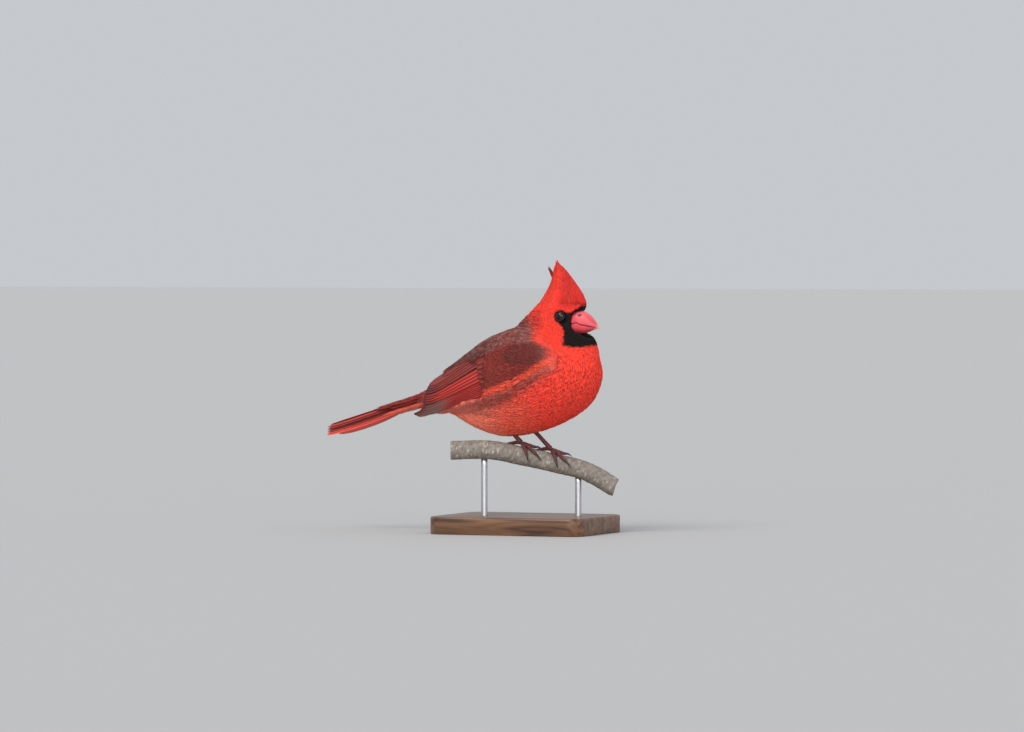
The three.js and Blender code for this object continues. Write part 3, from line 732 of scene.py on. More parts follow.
def scatter(points, triangles, spacing, tries):
    """Random points on triangles, none nearer to another than the spacing there."""
    a, b, c = (points[triangles[:, k]] for k in range(3))
    area = np.linalg.norm(np.cross(b - a, c - a), axis=1) / 2
    chosen = RANDOM.choice(len(triangles), tries, p=area / area.sum())
    u, v = RANDOM.random((2, tries))
    flip = u + v > 1
    u, v = np.where(flip, 1 - u, u), np.where(flip, 1 - v, v)
    spots = a[chosen] + u[:, None] * (b - a)[chosen] + v[:, None] * (c - a)[chosen]
    reach = spacing(spots)
    cell = float(reach.max())
    around = [(dx, dy, dz) for dx in (-1, 0, 1) for dy in (-1, 0, 1) for dz in (-1, 0, 1)]
    grid = {}
    kept = []
    for i, ((px, py, pz), r) in enumerate(zip(spots.tolist(), reach.tolist())):
        kx, ky, kz = int(px // cell), int(py // cell), int(pz // cell)
        near = any(
            (px - qx) ** 2 + (py - qy) ** 2 + (pz - qz) ** 2 < r * r
            for dx, dy, dz in around
            for qx, qy, qz in grid.get((kx + dx, ky + dy, kz + dz), ())
        )
        if not near:
            grid.setdefault((kx, ky, kz), []).append((px, py, pz))
            kept.append(i)
    return spots[kept]


# Width and length of a strand's patch on the unwrap
PATCH = (0.003, 0.003)
# Stations of a strand: how far along, and the share of its full width
TUFT = np.array([(0.0, 0.5), (0.33, 1.0), (0.7, 0.8), (1.0, 0.0)])
# How a feather lies: depth of its root, and curve of its rise towards the tip
ROOT_DEPTH = 0.25
LIFT_CURVE = 0.8
# How its strands part and differ, as shares of its width or length
STRAND_SPREAD = 0.42
SPREAD_AT_ROOT = 0.55
STRAND_PUSH = 0.12
STRAND_FALL = 0.12
OUTER_SHORTER = 0.14
UNEVEN = 0.1
STRAND_WIDER = 1.35
# Height of a strand's ridge, as a share of its half width and at most
STRAND_RIDGE = 0.45
RIDGE_MOST = 0.3
# Shade from the root of a feather to its tip, and the curve between
ROOT_SHADE = 0.74
TIP_SHADE = 1.05
SHADE_CURVE = 0.6


def grow(surface, roots, lengths, lifts, fan):
    """Stations of feathers that follow the skin from their roots: centre, across and out at each."""
    centres, acrosses, outs = [], [], []
    for root, way, length, lift, turn in zip(roots, lie_at(roots), lengths, lifts, fan):
        spot, normal, _, _ = surface.find_nearest(Vector(root))
        way = Vector(way)
        way = (way - normal * way.dot(normal)).normalized()
        side = normal.cross(way).normalized()
        way = (way * math.cos(turn) + side * math.sin(turn)).normalized()
        track, sides, normals = [], [], []
        before = 0.0
        for share in TUFT[:, 0]:
            spot, normal, _, _ = surface.find_nearest(spot + way * (length * (share - before)))
            before = share
            way = (way - normal * way.dot(normal)).normalized()
            side = normal.cross(way).normalized()
            track.append(spot + normal * (lift * share**LIFT_CURVE - ROOT_DEPTH))
            sides.append(side)
            normals.append(normal)
        centres.append(track)
        acrosses.append(sides)
        outs.append(normals)
    return np.array(centres), np.array(acrosses), np.array(outs)


def strands(centres, acrosses, outs, widths, count):
    """Splits each feather into slender strands side by side that part a little towards the tip."""
    share = TUFT[:, 0]
    parting = mix(SPREAD_AT_ROOT, 1.0, share)[None]
    result = []
    for k in range(count):
        off = (k - (count - 1) / 2) / (count - 1) * 2 if count > 1 else 0.0
        jitter = RANDOM.normal(0, STRAND_PUSH, len(widths))
        push = (off + jitter)[:, None] * widths[:, None] * STRAND_SPREAD * parting
        drop = -STRAND_FALL * abs(off) * widths[:, None] * share[None]
        shift = acrosses * push[..., None] + outs * drop[..., None]
        shorter = 1 - OUTER_SHORTER * abs(off) - RANDOM.uniform(0, UNEVEN, len(widths))
        result.append(centres[:, :1] + (centres - centres[:, :1]) * shorter[:, None, None] + shift)
    again = [count, 1, 1]
    each = widths / count * (STRAND_WIDER if count > 1 else 1.0)
    return np.concatenate(result), np.tile(acrosses, again), np.tile(outs, again), np.tile(each, count)


def strand_piece(name, tufts, material):
    """One joined mesh of many strands: three corners at each station and a point at the tip."""
    centres, acrosses, outs, widths, colors, patches = tufts
    count = len(centres)
    inner = len(TUFT) - 1
    half = widths[:, None] * TUFT[:inner, 1][None, :] / 2
    centre = centres[:, :inner]
    across = acrosses[:, :inner] * half[..., None]
    ridge = outs[:, :inner] * np.minimum(half * STRAND_RIDGE, RIDGE_MOST)[..., None]
    rings = np.stack([centre - across, centre + ridge, centre + across], axis=2)
    tip = inner * 3
    points = np.concatenate([rings.reshape(count, tip, 3), centres[:, inner:]], axis=1)
    per = tip + 1
    last = tip - 3
    faces = [(0, 2, 1)]
    for a in range(0, last, 3):
        for p, q in ((0, 1), (1, 2), (2, 0)):
            faces += [(a + p, a + q, a + q + 3), (a + p, a + q + 3, a + p + 3)]
    faces += [(last, last + 1, tip), (last + 1, last + 2, tip), (last + 2, last, tip)]
    corners = (np.array(faces)[None] + (np.arange(count) * per)[:, None, None]).reshape(-1, 3)
    mesh = bpy.data.meshes.new(name)
    mesh.vertices.add(count * per)
    mesh.vertices.foreach_set("co", to_frame(points).astype(np.float32).ravel())
    mesh.loops.add(len(corners) * 3)
    mesh.loops.foreach_set("vertex_index", corners.astype(np.int32).ravel())
    mesh.polygons.add(len(corners))
    mesh.polygons.foreach_set("loop_start", np.arange(0, len(corners) * 3, 3, dtype=np.int32))
    mesh.update(calc_edges=True)
    mesh.validate()
    along = np.concatenate([np.repeat(TUFT[:inner, 0], 3), [1.0]])
    shade = mix(ROOT_SHADE, TIP_SHADE, along**SHADE_CURVE)
    each = np.concatenate([np.repeat(colors[:, :inner], 3, axis=1), colors[:, inner:]], axis=1)
    set_markings(mesh, (each * shade[None, :, None]).reshape(-1, 3))
    sideways = np.concatenate([np.tile([-1.0, 0.0, 1.0], inner), [0.0]])
    patch = np.stack([sideways * PATCH[0] / 2, (along - 0.5) * PATCH[1]], axis=1)
    set_map(mesh, "OFBake", (patches[:, None, :] + patch[None]).reshape(-1, 2))
    return add_piece(name, mesh, material)


def on_face(points):
    """1 on the small-feathered face, 0 on the body."""
    h = in_head(points)
    return soft(h[:, 0] + 13, 18) * soft(h[:, 2] + 24, 16)


EYE = {"x": 0.0, "y": 7.3, "radius": 4.2}
# What stays bare: round the eye, the base of the bill, and the wing between its edges
BARE_EYE = {"radius": 3.5, "y": 5}
BARE_BILL = {"x": 6, "z": -4.2, "half": 6.0, "rise": 7.6}
BARE_WING = {"x": (-80, -4), "place": (0.16, 0.84)}


def between(value, ends):
    return (value > ends[0]) & (value < ends[1])


def bare(points):
    """Where no feather roots: the eyes, their lids, under the bill and deep under the wings."""
    h = in_head(points)
    near_eye = np.hypot(h[:, 0] - EYE["x"], h[:, 2]) < BARE_EYE["radius"]
    near_eye &= np.abs(h[:, 1]) > BARE_EYE["y"]
    from_bill = np.hypot(h[:, 1] / BARE_BILL["half"], (h[:, 2] - BARE_BILL["z"]) / BARE_BILL["rise"])
    under_bill = (h[:, 0] > BARE_BILL["x"]) & (from_bill < 1)
    x = points[:, 0]
    rise = (points[:, 2] - BED_MIDDLE(x)) / BED_RISE(x)
    place = place_at(x, np.degrees(np.arctan2(rise, np.abs(points[:, 1]) / BED_HALF(x))))
    return near_eye | under_bill | (between(x, BARE_WING["x"]) & between(place, BARE_WING["place"]))


# How far ahead and how far outwards a path is looked at for its ways
PATH_STEP = 0.02
OUT_STEP = 0.5


def tuft_set(centres, acrosses, outs, widths, count, color_at, roots):
    """Strands with their colours and their places on the unwrap."""
    wobble = RANDOM.uniform(-1, 1, len(widths))
    colors = color_at(centres, np.repeat(wobble[:, None], len(TUFT), axis=1))
    centres, acrosses, outs, each = strands(centres, acrosses, outs, widths, count)
    return centres, acrosses, outs, each, np.tile(colors, [count, 1, 1]), np.tile(unwrap(roots), [count, 1])


def path_tufts(where, widths, count, color_at):
    """Feathers whose place is a formula: where(s, out) gives the points of all of them at s."""
    centres = np.stack([where(s) for s in TUFT[:, 0]], axis=1)
    ahead = np.stack([where(s + PATH_STEP) for s in TUFT[:, 0]], axis=1)
    outs = unit(np.stack([where(s, OUT_STEP) for s in TUFT[:, 0]], axis=1) - centres)
    acrosses = unit(np.cross(outs, unit(ahead - centres)))
    return tuft_set(centres, acrosses, outs, widths, count, color_at, centres[:, 0])


def join_sets(sets):
    return [np.concatenate(parts) for parts in zip(*sets)]


COAT_PIECES = 6
COAT_TRIES = 130000
BODY_SPACING = 1.02
FACE_SPACING = 0.56
# Length, width and lift of the feathers on the body and on the face, and how much each varies
BODY_FEATHER = (7.5, 2.7, 1.55)
FACE_FEATHER = (2.2, 1.1, 1.05)
FEATHER_VARIES = ((0.85, 1.15), (0.85, 1.15), (0.8, 1.15))
FEATHER_FAN = 0.13
BODY_STRANDS = 3
FACE_STRANDS = 2


def coat_spacing(points):
    return mix(BODY_SPACING, FACE_SPACING, on_face(points))


def make_coat(skin, material):
    points = to_bird(mesh_points(skin.data))
    triangles = mesh_triangles(skin.data)
    surface = BVHTree.FromPolygons(points.tolist(), triangles.tolist())
    roots = scatter(points, triangles, coat_spacing, COAT_TRIES)
    roots = roots[~bare(roots)]
    face = on_face(roots)
    sets = []
    for group, count in ((face < 0.5, BODY_STRANDS), (face >= 0.5, FACE_STRANDS)):
        base = roots[group]
        lengths, widths, lifts = (
            mix(body, small, face[group]) * RANDOM.uniform(*varies, len(base))
            for body, small, varies in zip(BODY_FEATHER, FACE_FEATHER, FEATHER_VARIES)
        )
        stations = grow(surface, base, lengths, lifts, RANDOM.normal(0, FEATHER_FAN, len(base)))
        sets.append(tuft_set(*stations, widths, count, plumage_color, base))
    tufts = join_sets(sets)
    order = np.argsort(tufts[-1][:, 1])
    for i, part in enumerate(np.array_split(order, COAT_PIECES)):
        strand_piece(f"coat_{i + 1}", [v[part] for v in tufts], material)


# Crest: a low core, and slender feathers from the forehead and crown up to the peak


# Rows of crest feathers: heights of the first and last, step, spacing round the head, fewest in a row
CREST_ROWS = {"low": 3.0, "high": 31, "step": 0.85, "spacing": 1.05, "least": 8}


def crest_tufts():
    starts, turns, rises = [], [], []
    z = CREST_ROWS["low"]
    while z < CREST_ROWS["high"]:
        girth = math.pi * ((HEAD_FRONT(z) - HEAD_BACK(z)) / 2 + HEAD_HALF(z))
        count = max(int(girth / CREST_ROWS["spacing"]), CREST_ROWS["least"])
        starts.append(z + RANDOM.uniform(-0.6, 0.6, count))
        turns.append(circle(count) + RANDOM.uniform(-0.06, 0.06, count))
        rises.append(RANDOM.uniform(8, 12, count) * mix(0.55, 1, ease((z - CREST_ROWS["low"]) / 8)))
        z += CREST_ROWS["step"]
    z0, turn, rise = (np.concatenate(rows) for rows in (starts, turns, rises))
    z1 = np.minimum(z0 + rise, CREST_PEAK + 1.6 - RANDOM.uniform(0, 2.3, len(z0)) ** 2)
    # Those of the brow start above the eyes and behind the bill
    keep = (z0 > 7) | (np.cos(turn) < 0.1)
    z0, z1, turn = z0[keep], z1[keep], turn[keep]
    drift = RANDOM.normal(0, 0.05, len(z0))
    rooted = ease((z0 - CREST_ROWS["low"]) / 9)
    root_out = mix(-1.7, -1.2, rooted)
    tip_out = mix(-0.55, 0.15, rooted) - 1.3 * ease((z1 - 34.5) / 4.5)

    def where(s, out=0.0):
        lift = mix(root_out, tip_out, np.clip(s * 1.2, 0, 1)) + out
        return head_surface(mix(z0, z1, s), turn + drift * s, lift)

    widths = mix(2.0, 0.7, (z1 - 10) / 28) * RANDOM.uniform(0.85, 1.15, len(z0))
    return path_tufts(where, widths, 2, plumage_color)


# A thin dark wisp behind the peak: x and z of its root and tip
WISP = {"root": (-8, 21), "tip": (-14.7, 35), "strands": 9, "spread": 0.9, "width": 1.7}
WISP_COLOR = linear(120, 24, 26)


def wisp_color(points, wobble):
    return WISP_COLOR * (1 + 0.15 * wobble[..., None])


def wisp_tufts():
    spread = np.linspace(-1, 1, WISP["strands"])

    def where(s):
        x = mix(WISP["root"][0], WISP["tip"][0], s**1.5) + spread * WISP["spread"] * (1 - 0.6 * s)
        z = mix(WISP["root"][1], WISP["tip"][1] - 1.5 * np.abs(spread), s)
        return head_point(x, 0.3 * np.sin(spread * 9), z)

    centres = np.stack([where(s) for s in TUFT[:, 0]], axis=1)
    ways = unit(np.stack([where(s + PATH_STEP) for s in TUFT[:, 0]], axis=1) - centres)
    acrosses = unit(np.cross(np.broadcast_to([0.0, 1.0, 0.0], ways.shape), ways))
    outs = np.broadcast_to([0.0, -1.0, 0.0], ways.shape)
    widths = np.full(len(spread), WISP["width"])
    return tuft_set(centres, acrosses, outs, widths, 1, wisp_color, centres[:, 0])


def make_crest(material):
    levels = np.linspace(4, 33, 30)
    turns = circle(48)
    core = np.array([head_surface(z, turns, -mix(1.9, 0.9, ease((z - levels[0]) / 10))) for z in levels])
    colors = plumage_color(core, np.zeros(core.shape[:2])) * CORE_SHADE
    ring_piece("crest_core", [core], [colors], material, ["crest"])
    tufts = join_sets([crest_tufts(), wisp_tufts()])
    strand_piece("crest_feathers", tufts, material)


# Vanes: long blades with a raised shaft, split alike on both faces

VANE_TOP_COLUMNS = (-1.0, -0.6, -0.09, 0.0, 0.09, 0.6, 1.0)
VANE_UNDER_COLUMNS = (0.6, 0.0, -0.6)
ACROSS = np.array(VANE_TOP_COLUMNS + VANE_UNDER_COLUMNS)
VANE_THICK = 0.22
SHAFT = 0.13
SHAFT_SHADE = 0.62
VANE_STATIONS = 18
# How stations crowd to the root, how ragged and notched the edges are, and the tip's share of thickness
VANE = {"crowd": 0.9, "ragged": 0.05, "notch": 0.12, "tip_thick": 0.4}
# Height of each column in thicknesses of the vane, and which one is the shaft on the upper face
VANE_OUT = np.array([0, 0.5, 0.55, 0.5 + SHAFT / VANE_THICK, 0.55, 0.5, 0, -0.5, -0.5, -0.5])
ON_SHAFT = np.arange(len(ACROSS)) == VANE_TOP_COLUMNS.index(0.0)


def vane(where, length, width, reach, color, steps=VANE_STATIONS):
    """A blade: where(s, across, out) places it, reach gives its width share and color its markings."""
    s = np.linspace(0, 1, steps) ** VANE["crowd"]
    ragged = 1 - RANDOM.uniform(0, VANE["ragged"], (steps, 2))
    notch = RANDOM.integers(steps // 2, steps - 2, 2)
    ragged[notch, [0, 1]] -= RANDOM.uniform(0, VANE["notch"], 2)
    share = reach(s)[:, None] * np.where(ACROSS < 0, ragged[:, :1], ragged[:, 1:])
    across = ACROSS[None, :] * share
    along = s[:, None] * np.ones_like(across)
    thick = VANE_THICK * VANE_OUT[None, :] * mix(1, VANE["tip_thick"], s)[:, None]
    points = where(s[:, None], across, thick)
    wobble = RANDOM.uniform(-1, 1)
    colors = color(points, along, ACROSS[None, :] * np.ones_like(across), wobble)
    colors = colors * np.where(ON_SHAFT, SHAFT_SHADE, 1.0)[None, :, None]
    barbs = np.stack([across * width / 2, along * length], axis=-1)
    return points, colors, barbs, np.stack([across, along], axis=-1)


def vane_piece(name, vanes, material):
    points, colors, barbs, own = zip(*vanes)
    mesh = closed_mesh(name, *closed_rings(points))
    set_markings(mesh, np.concatenate([v.reshape(-1, 3) for v in colors]))
    set_map(mesh, "Barbs", np.concatenate([v.reshape(-1, 2) for v in barbs]))
    strips = []
    for i, v in enumerate(own):
        across, along = v.reshape(-1, 2).T
        strips.append(np.stack([(i + 0.5 + across * 0.45) / len(vanes), mix(0.02, 0.98, along)], axis=1))
    set_map(mesh, "OFBake", np.concatenate(strips))
    mesh.uv_layers["OFBake"].active_render = True
    return add_piece(name, mesh, material)


LONG_REACH = smooth([[0, 0.4], [0.25, 0.8], [0.6, 1], [0.85, 0.92], [0.95, 0.66], [1, 0.16]], 1)
COVERT_REACH = smooth([[0, 0.6], [0.4, 0.95], [0.7, 1], [0.88, 0.78], [0.96, 0.46], [1, 0.14]], 1)

COVERT_DARK = linear(104, 42, 38)
COVERT_RED = linear(138, 47, 40)
STRIPE = linear(240, 84, 60)
WEB_RED = linear(182, 54, 48)
WEB_DARK = linear(78, 44, 42)
WEB_GREY = linear(176, 150, 142)
TERTIAL_BROWN = linear(132, 54, 48)
TAIL_RED = linear(174, 58, 51)
TAIL_SIDE = linear(236, 90, 76)
# Painted shadow: a dark band where the tail's pairs step over one another, and its strength on each pair
TAIL_SHADOW = linear(74, 28, 28)
TAIL_SHADOW_STRENGTH = (0.05, 0.25, 0.92, 0.3, 0.0, 0.0)
TAIL_TIP = linear(206, 92, 80)


def wing_color(points, wobble):
    """The colour of the small wing feathers: dusky red, a dark oval, a bright stripe above the flank."""
    x, z = points[..., 0], points[..., 2]
    color = np.broadcast_to(COVERT_RED, points.shape).copy()
    paint = painter(color)
    upper = z - np.interp(x, *WING_BACK_LINE)
    paint(MANTLE, soft(upper, 6))
    paint(FRINGE, soft(upper + 1, 6) * 0.6 * soft(wobble, 0.8))
    oval = 1 - np.hypot((x + 15.5) / 15.5, (z + 25.5 - 0.1 * (x + 15.5)) / 7.2)
    paint(COVERT_DARK, 0.85 * soft(oval, 0.35))
    front = soft(x + 4, 8)
    paint(FRINGE, 0.35 * front * soft(wobble + 0.1, 0.7) * soft(z + 36, 8))
    line = z - WING_LINE(x)
    stripe = soft(line + 0.8, 1.6) * soft(3.6 - line, 3.4)
    paint(STRIPE, stripe * soft(x + 52, 12))
    below = soft(-line - 0.6, 2.4)
    paint(mix(FLANK_SHADE, FLANK, 0.5), below)
    paint(FRINGE, 0.3 * below * soft(wobble, 0.7))
    color = color * (1 + 0.1 * wobble[..., None])
    ahead = soft(x - MANTLE_FRONT(z) + 1.5 * wobble, 5)[..., None]
    return mix(color, plumage_color(points, wobble), ahead)


def webs(outer, inner, shaft_shade, tip, tip_from):
    """Markings of a flight feather: its outer web, its inner web, the dark between, and the tip's edge."""

    def color(points, s, across, wobble):
        c = np.broadcast_to(outer, points.shape).copy()
        paint = painter(c)
        paint(inner, soft(across + 0.12, 0.35))
        paint(shaft_shade, 0.8 * soft(0.26 - np.abs(across + 0.12), 0.25))
        paint(inner, 0.75 * soft(s - tip_from - 0.08, 0.25))
        paint(tip, soft(s - tip_from, 0.2) * soft(-across - 0.84, 0.18))
        return c * (1 + 0.12 * wobble)

    return color


def covert_color(points, s, across, wobble):
    level = np.full(points.shape[:-1], wobble * 0.6)
    c = wing_color(points, level)
    paint = painter(c)
    paint(c * 0.85, soft(0.3 - np.abs(across), 0.4))
    paint(COVERT_DARK * 0.8, 0.4 * soft(s - 0.85, 0.2) * soft(across + 0.2, 0.6))
    return c


# Heights of a vane over the bed of the wing: the least, and the arch across it as a share of its width
VANE_CLEAR = 0.65
VANE_ARCH = 0.02
# Primaries stay above the line of the flank: by a gap, a share of their place, and more at the far wing's tip
PRIMARY = {"gap": 0.08, "spread": 0.6, "far_raised": 0.24}


def wing_vane(row, root, tip, share, kind, side):
    """A vane of the wing, from its root and tip along the body and its place between the wing's edges."""
    width, top, tilt = kind
    reach, color = LONG_REACH, WING_MARKS.get(row)
    if row.endswith("covert"):
        reach, color = COVERT_REACH, covert_color
        top *= 0.6 + 0.4 * math.sin(math.pi * min(max(share, 0.05), 0.95))
    buried = core_out(root, share) * 0.5
    raised = PRIMARY["far_raised"] if side > 0 else 0

    def where(s, across, out):
        x = mix(root, tip, s)
        place = share
        if row == "primary":
            line = place_of(x, WING_LINE(x))
            place = np.maximum(share, line + PRIMARY["gap"] + raised * ease(s) + PRIMARY["spread"] * share)
        turn = np.degrees(across * width / (BED_HALF(x) + BED_RISE(x)))
        lift = mix(buried, top, ease(s * 3)) - tilt * across * width / 2
        arch = VANE_ARCH * width * (1 - across**2)
        return wing_point(x, wing_degrees(x, place) + turn, np.maximum(lift, VANE_CLEAR) + out + arch, side)

    return vane(where, root - tip, width, reach, color)


# Rows of the wing: count, root, tips and places of the first and last, kind (width, height, tilt)
WING_ROWS = [
    ("primary", 7, -28, [-93, -102], [0.31, 0.0], (4.8, 2.0, 0.4)),
    ("outer_secondary", 4, -26, [-93, -94], [0.55, 0.37], (6.6, 2.8, 0.16)),
    ("inner_secondary", 3, -26, [-91, -92], [0.76, 0.64], (7.0, 3.2, 0.18)),
    ("tertial", 3, -26, [-70, -90], [0.95, 0.83], (7.8, 3.3, 0.2)),
    ("primary_covert", 5, -18, [-50, -60], [-0.02, 0.1], (4.2, 2.2, 0.25)),
    ("greater_covert", 12, -24, [-44, -54], [0.05, 0.96], (6.6, 4.6, 0.1)),
    ("median_covert", 11, -13, [-31, -38], [0.1, 0.94], (6.4, 5.2, 0.08)),
]
WING_MARKS = {
    "primary": webs(WEB_RED, WEB_DARK, WEB_DARK * 0.5, WEB_GREY, 0.68),
    "outer_secondary": webs(WEB_RED * 1.15, WEB_DARK, WEB_DARK * 0.6, WEB_DARK, 0.85),
    "inner_secondary": webs(TERTIAL_BROWN * 1.2, WEB_DARK, WEB_DARK * 0.6, WEB_DARK, 0.85),
    "tertial": webs(TERTIAL_BROWN * 1.15, TERTIAL_BROWN, TERTIAL_BROWN * 0.7, TERTIAL_BROWN * 1.4, 0.3),
}


def wing_tufts(side, x0, place0, length, dplace, widths, lift, color_at, count, sink=0.6):
    """Small feathers of the wing, from places on it, running back along it over what lies beneath."""

    def where(s, out=0.0):
        x = x0 - length * s
        place = place0 + dplace * s
        core = core_out(x, place)
        rest = np.where(x > VANES_FROM, core, np.maximum(VANE_TOP(x), core))
        rest = rest * ease((place + 0.22) / 0.3) * ease((1.3 - place) / 0.35)
        return wing_point(x, wing_degrees(x, place), rest + mix(-sink, lift, s**LIFT_CURVE) + out, side)

    return path_tufts(where, widths, count, color_at)


def lesser_coverts(side):
    x0, place0 = RANDOM.uniform([-38, -0.02], [8, 1.0], (2700, 2)).T
    n = len(x0)
    length = RANDOM.uniform(6, 8.5, n)
    dplace = RANDOM.normal(-0.02, 0.02, n)
    widths = RANDOM.uniform(2.2, 3.2, n)
    return wing_tufts(side, x0, place0, length, dplace, widths, 0.5, wing_color, 3)


def scapulars(side):
    """Loose mantle feathers that hang over the upper edge of the wing."""
    x0 = np.concatenate([RANDOM.uniform(-46, 4, 1000), RANDOM.uniform(-70, -40, 500)])
    n = len(x0)
    low, high = (np.interp(x0, [-60, -42], places) for places in ([1.06, 0.78], [1.34, 1.22]))
    place0 = RANDOM.uniform(low, high)
    length = RANDOM.uniform(9, 14, n)
    drop = RANDOM.uniform(-0.2, -0.06, n)
    widths = RANDOM.uniform(2.4, 3.6, n)
    return wing_tufts(side, x0, place0, length, drop, widths, 0.9, wing_color, 4, sink=1.6)


def wing_to_body(points, wobble, share):
    """Colours from those of the wing, at a share of 0, to those of the body, at 1."""
    return mix(wing_color(points, wobble), plumage_color(points, wobble), share[..., None])


def shoulder_color(points, wobble):
    return wing_to_body(points, wobble, soft(points[..., 0] + 1 + 2.5 * wobble, 4))


def flank_color(points, wobble):
    return wing_to_body(points, wobble, soft(WING_LINE(points[..., 0]) - points[..., 2] + 0.5, 3))


def shoulder_cover(side):
    """Breast and neck feathers that run back over the bend of the wing."""
    x0 = RANDOM.uniform(-1, 7, 900)
    n = len(x0)
    place0 = RANDOM.uniform(-0.15, 1.2, n)
    length = RANDOM.uniform(8, 12, n)
    widths = RANDOM.uniform(2.2, 3.2, n)
    dplace = RANDOM.normal(-0.03, 0.03, n)
    return wing_tufts(side, x0, place0, length, dplace, widths, 0.75, shoulder_color, 4, sink=1.8)


def flank_cover(side):
    """Flank feathers that lie over the lower edge of the wing, up to the line where it shows."""
    x0 = RANDOM.uniform(-76, 8, 1600)
    n = len(x0)
    length = RANDOM.uniform(8, 11, n)
    last = place_of(x0 - length, WING_LINE(x0 - length))
    first = place_of(x0, WING_LINE(x0))
    deep = np.interp(x0, [-76, -50, -30], [0.06, 0.2, 0.4])
    place0 = first - 0.02 - RANDOM.uniform(0, 1, n) * deep
    dplace = (last - first) * 0.9 - 0.01
    widths = RANDOM.uniform(2.2, 3.4, n)
    return wing_tufts(side, x0, place0, length, dplace, widths, 0.6, flank_color, 4, sink=1.4)


def wing_core(side):
    """Rings of the core: its outer face from the lower edge up, then its inner face down again."""
    outer = np.linspace(0, 1, 30)
    inner = np.linspace(1, 0, 12)
    rings = []
    for x in np.linspace(5, -47, 44):
        face = wing_point(x, wing_degrees(x, outer), np.maximum(core_out(x, outer) - 0.5, 0.1), side)
        rings.append(np.concatenate([face, wing_point(x, wing_degrees(x, inner), -1.5, side)]))
    return np.array(rings)


def make_wing(name, side, plumage, vane_look):
    core = wing_core(side)
    colors = wing_color(core, np.zeros(core.shape[:2])) * CORE_SHADE
    ring_piece(f"wing_core_{name}", [core], [colors], plumage, [f"wing_{name}"])
    vanes = []
    for row, count, root, tips, places, kind in WING_ROWS:
        for tip, place in zip(np.linspace(*tips, count), np.linspace(*places, count)):
            vanes.append(wing_vane(row, root, tip, place, kind, side))
    vane_piece(f"wing_vanes_{name}", vanes, vane_look)
    front = join_sets([lesser_coverts(side), shoulder_cover(side)])
    strand_piece(f"wing_coat_{name}_front", front, plumage)
    edges = join_sets([scapulars(side), flank_cover(side)])
    strand_piece(f"wing_coat_{name}_edges", edges, plumage)


# Tail: a core, twelve vanes laid like roof tiles, and soft coverts above and below


def tail_vane(pair, side):
    half = TAIL["width"] / 2
    tip = TAIL["tip"] + TAIL["shorter"] * pair
    lift = TAIL["layer"] if pair == 0 and side > 0 else 0

    def where(s, across, out):
        x = mix(TAIL["root"], tip, s)
        first = mix(TAIL["first"] * 0.6, TAIL["first"], s)
        middle = first + pair * mix(TAIL["pitch_root"], TAIL["pitch_tip"], s)
        y = side * (middle + across * half * mix(0.5, 1, ease(s * 1.6)))
        drop = TAIL["layer"] * pair * mix(0.75, 1, s) + TAIL["sag"] * pair * np.sin(math.pi * s**0.7)
        drop = drop + TAIL["droop"] * np.clip(across, 0, 1) ** 1.5 * ease(s * 2)
        return tail_point(x, y, out + lift - TAIL["depth"] - drop)

    def color(points, s, across, wobble):
        outer = pair / (TAIL["pairs"] - 1)
        c = mix(TAIL_RED, TAIL_SIDE, ease(outer * 1.6 - 0.6)) * np.ones(points.shape)
        paint = painter(c)
        # Painted shadow of the step between tail pairs, as strong as this pair's share
        paint(TAIL_SHADOW, TAIL_SHADOW_STRENGTH[pair] * soft(0.5 + across, 0.9))
        paint(TAIL_TIP, 0.35 * soft(s - 0.95, 0.14))
        return c * (1 + 0.1 * wobble)

    return vane(where, TAIL["root"] - tip, TAIL["width"], LONG_REACH, color, steps=22)


# Coverts above and below the tail: count, front, side, heights, fall from the ridge that they level, colour
TAIL_COVERTS = [
    (260, -92, 1, (0.2, 0.2), 0, mix(TAIL_RED, RUMP, 0.5)),
    (420, -84, -1, (-8.0, -9.6), TAIL["tent"], VENT),
]
TAIL_COVERTS_X = (-124, -92)


def tail_covert_tufts(count, front, sign, heights, level, tint):
    x0 = RANDOM.uniform(TAIL_COVERTS_X[0], front, count)
    y0 = RANDOM.uniform(-1, 1, count) * np.interp(x0, TAIL_COVERTS_X, [5.5, 7.5])
    length = RANDOM.uniform(9, 15, count)
    base = np.interp(x0, TAIL_COVERTS_X, heights)

    def where(s, out=0.0):
        y = y0 * mix(1, 0.8, s)
        bulge = -sign * 0.035 * y**2
        lift = base + bulge + sign * (mix(-1.0, 0.7, s) + out) + level * np.abs(y)
        return tail_point(x0 - length * s, y, lift)

    def color_at(points, wobble):
        return tint * (1 + 0.15 * wobble[..., None])

    return path_tufts(where, RANDOM.uniform(2.2, 3.2, count), 4, color_at)


def tail_core():
    turns = circle(40)
    rings = []
    for t in np.linspace(0, 1, 24):
        x = mix(TAIL["start"], TAIL["core_end"], t)
        half = TAIL["core_half"] * mix(1, 0.7, t)
        thick = TAIL["core_thick"] * mix(1, 0.5, t) / 2
        middle = -0.9 * t - thick - 0.4
        rings.append(tail_point(x, half * np.cos(turns), middle + thick * np.sin(turns) * 1.05))
    return np.array(rings)


def make_tail(plumage, vane_look):
    core = tail_core()
    colors = np.broadcast_to(RUMP * CORE_SHADE, core.shape)
    ring_piece("tail_core", [core], [colors], plumage, ["tail"])
    vanes = [tail_vane(pair, side) for pair in range(TAIL["pairs"]) for side in (1, -1)]
    vane_piece("tail_vanes", vanes, vane_look)
    tufts = join_sets([tail_covert_tufts(*kind) for kind in TAIL_COVERTS])
    strand_piece("tail_coverts", tufts, plumage)


# Bill

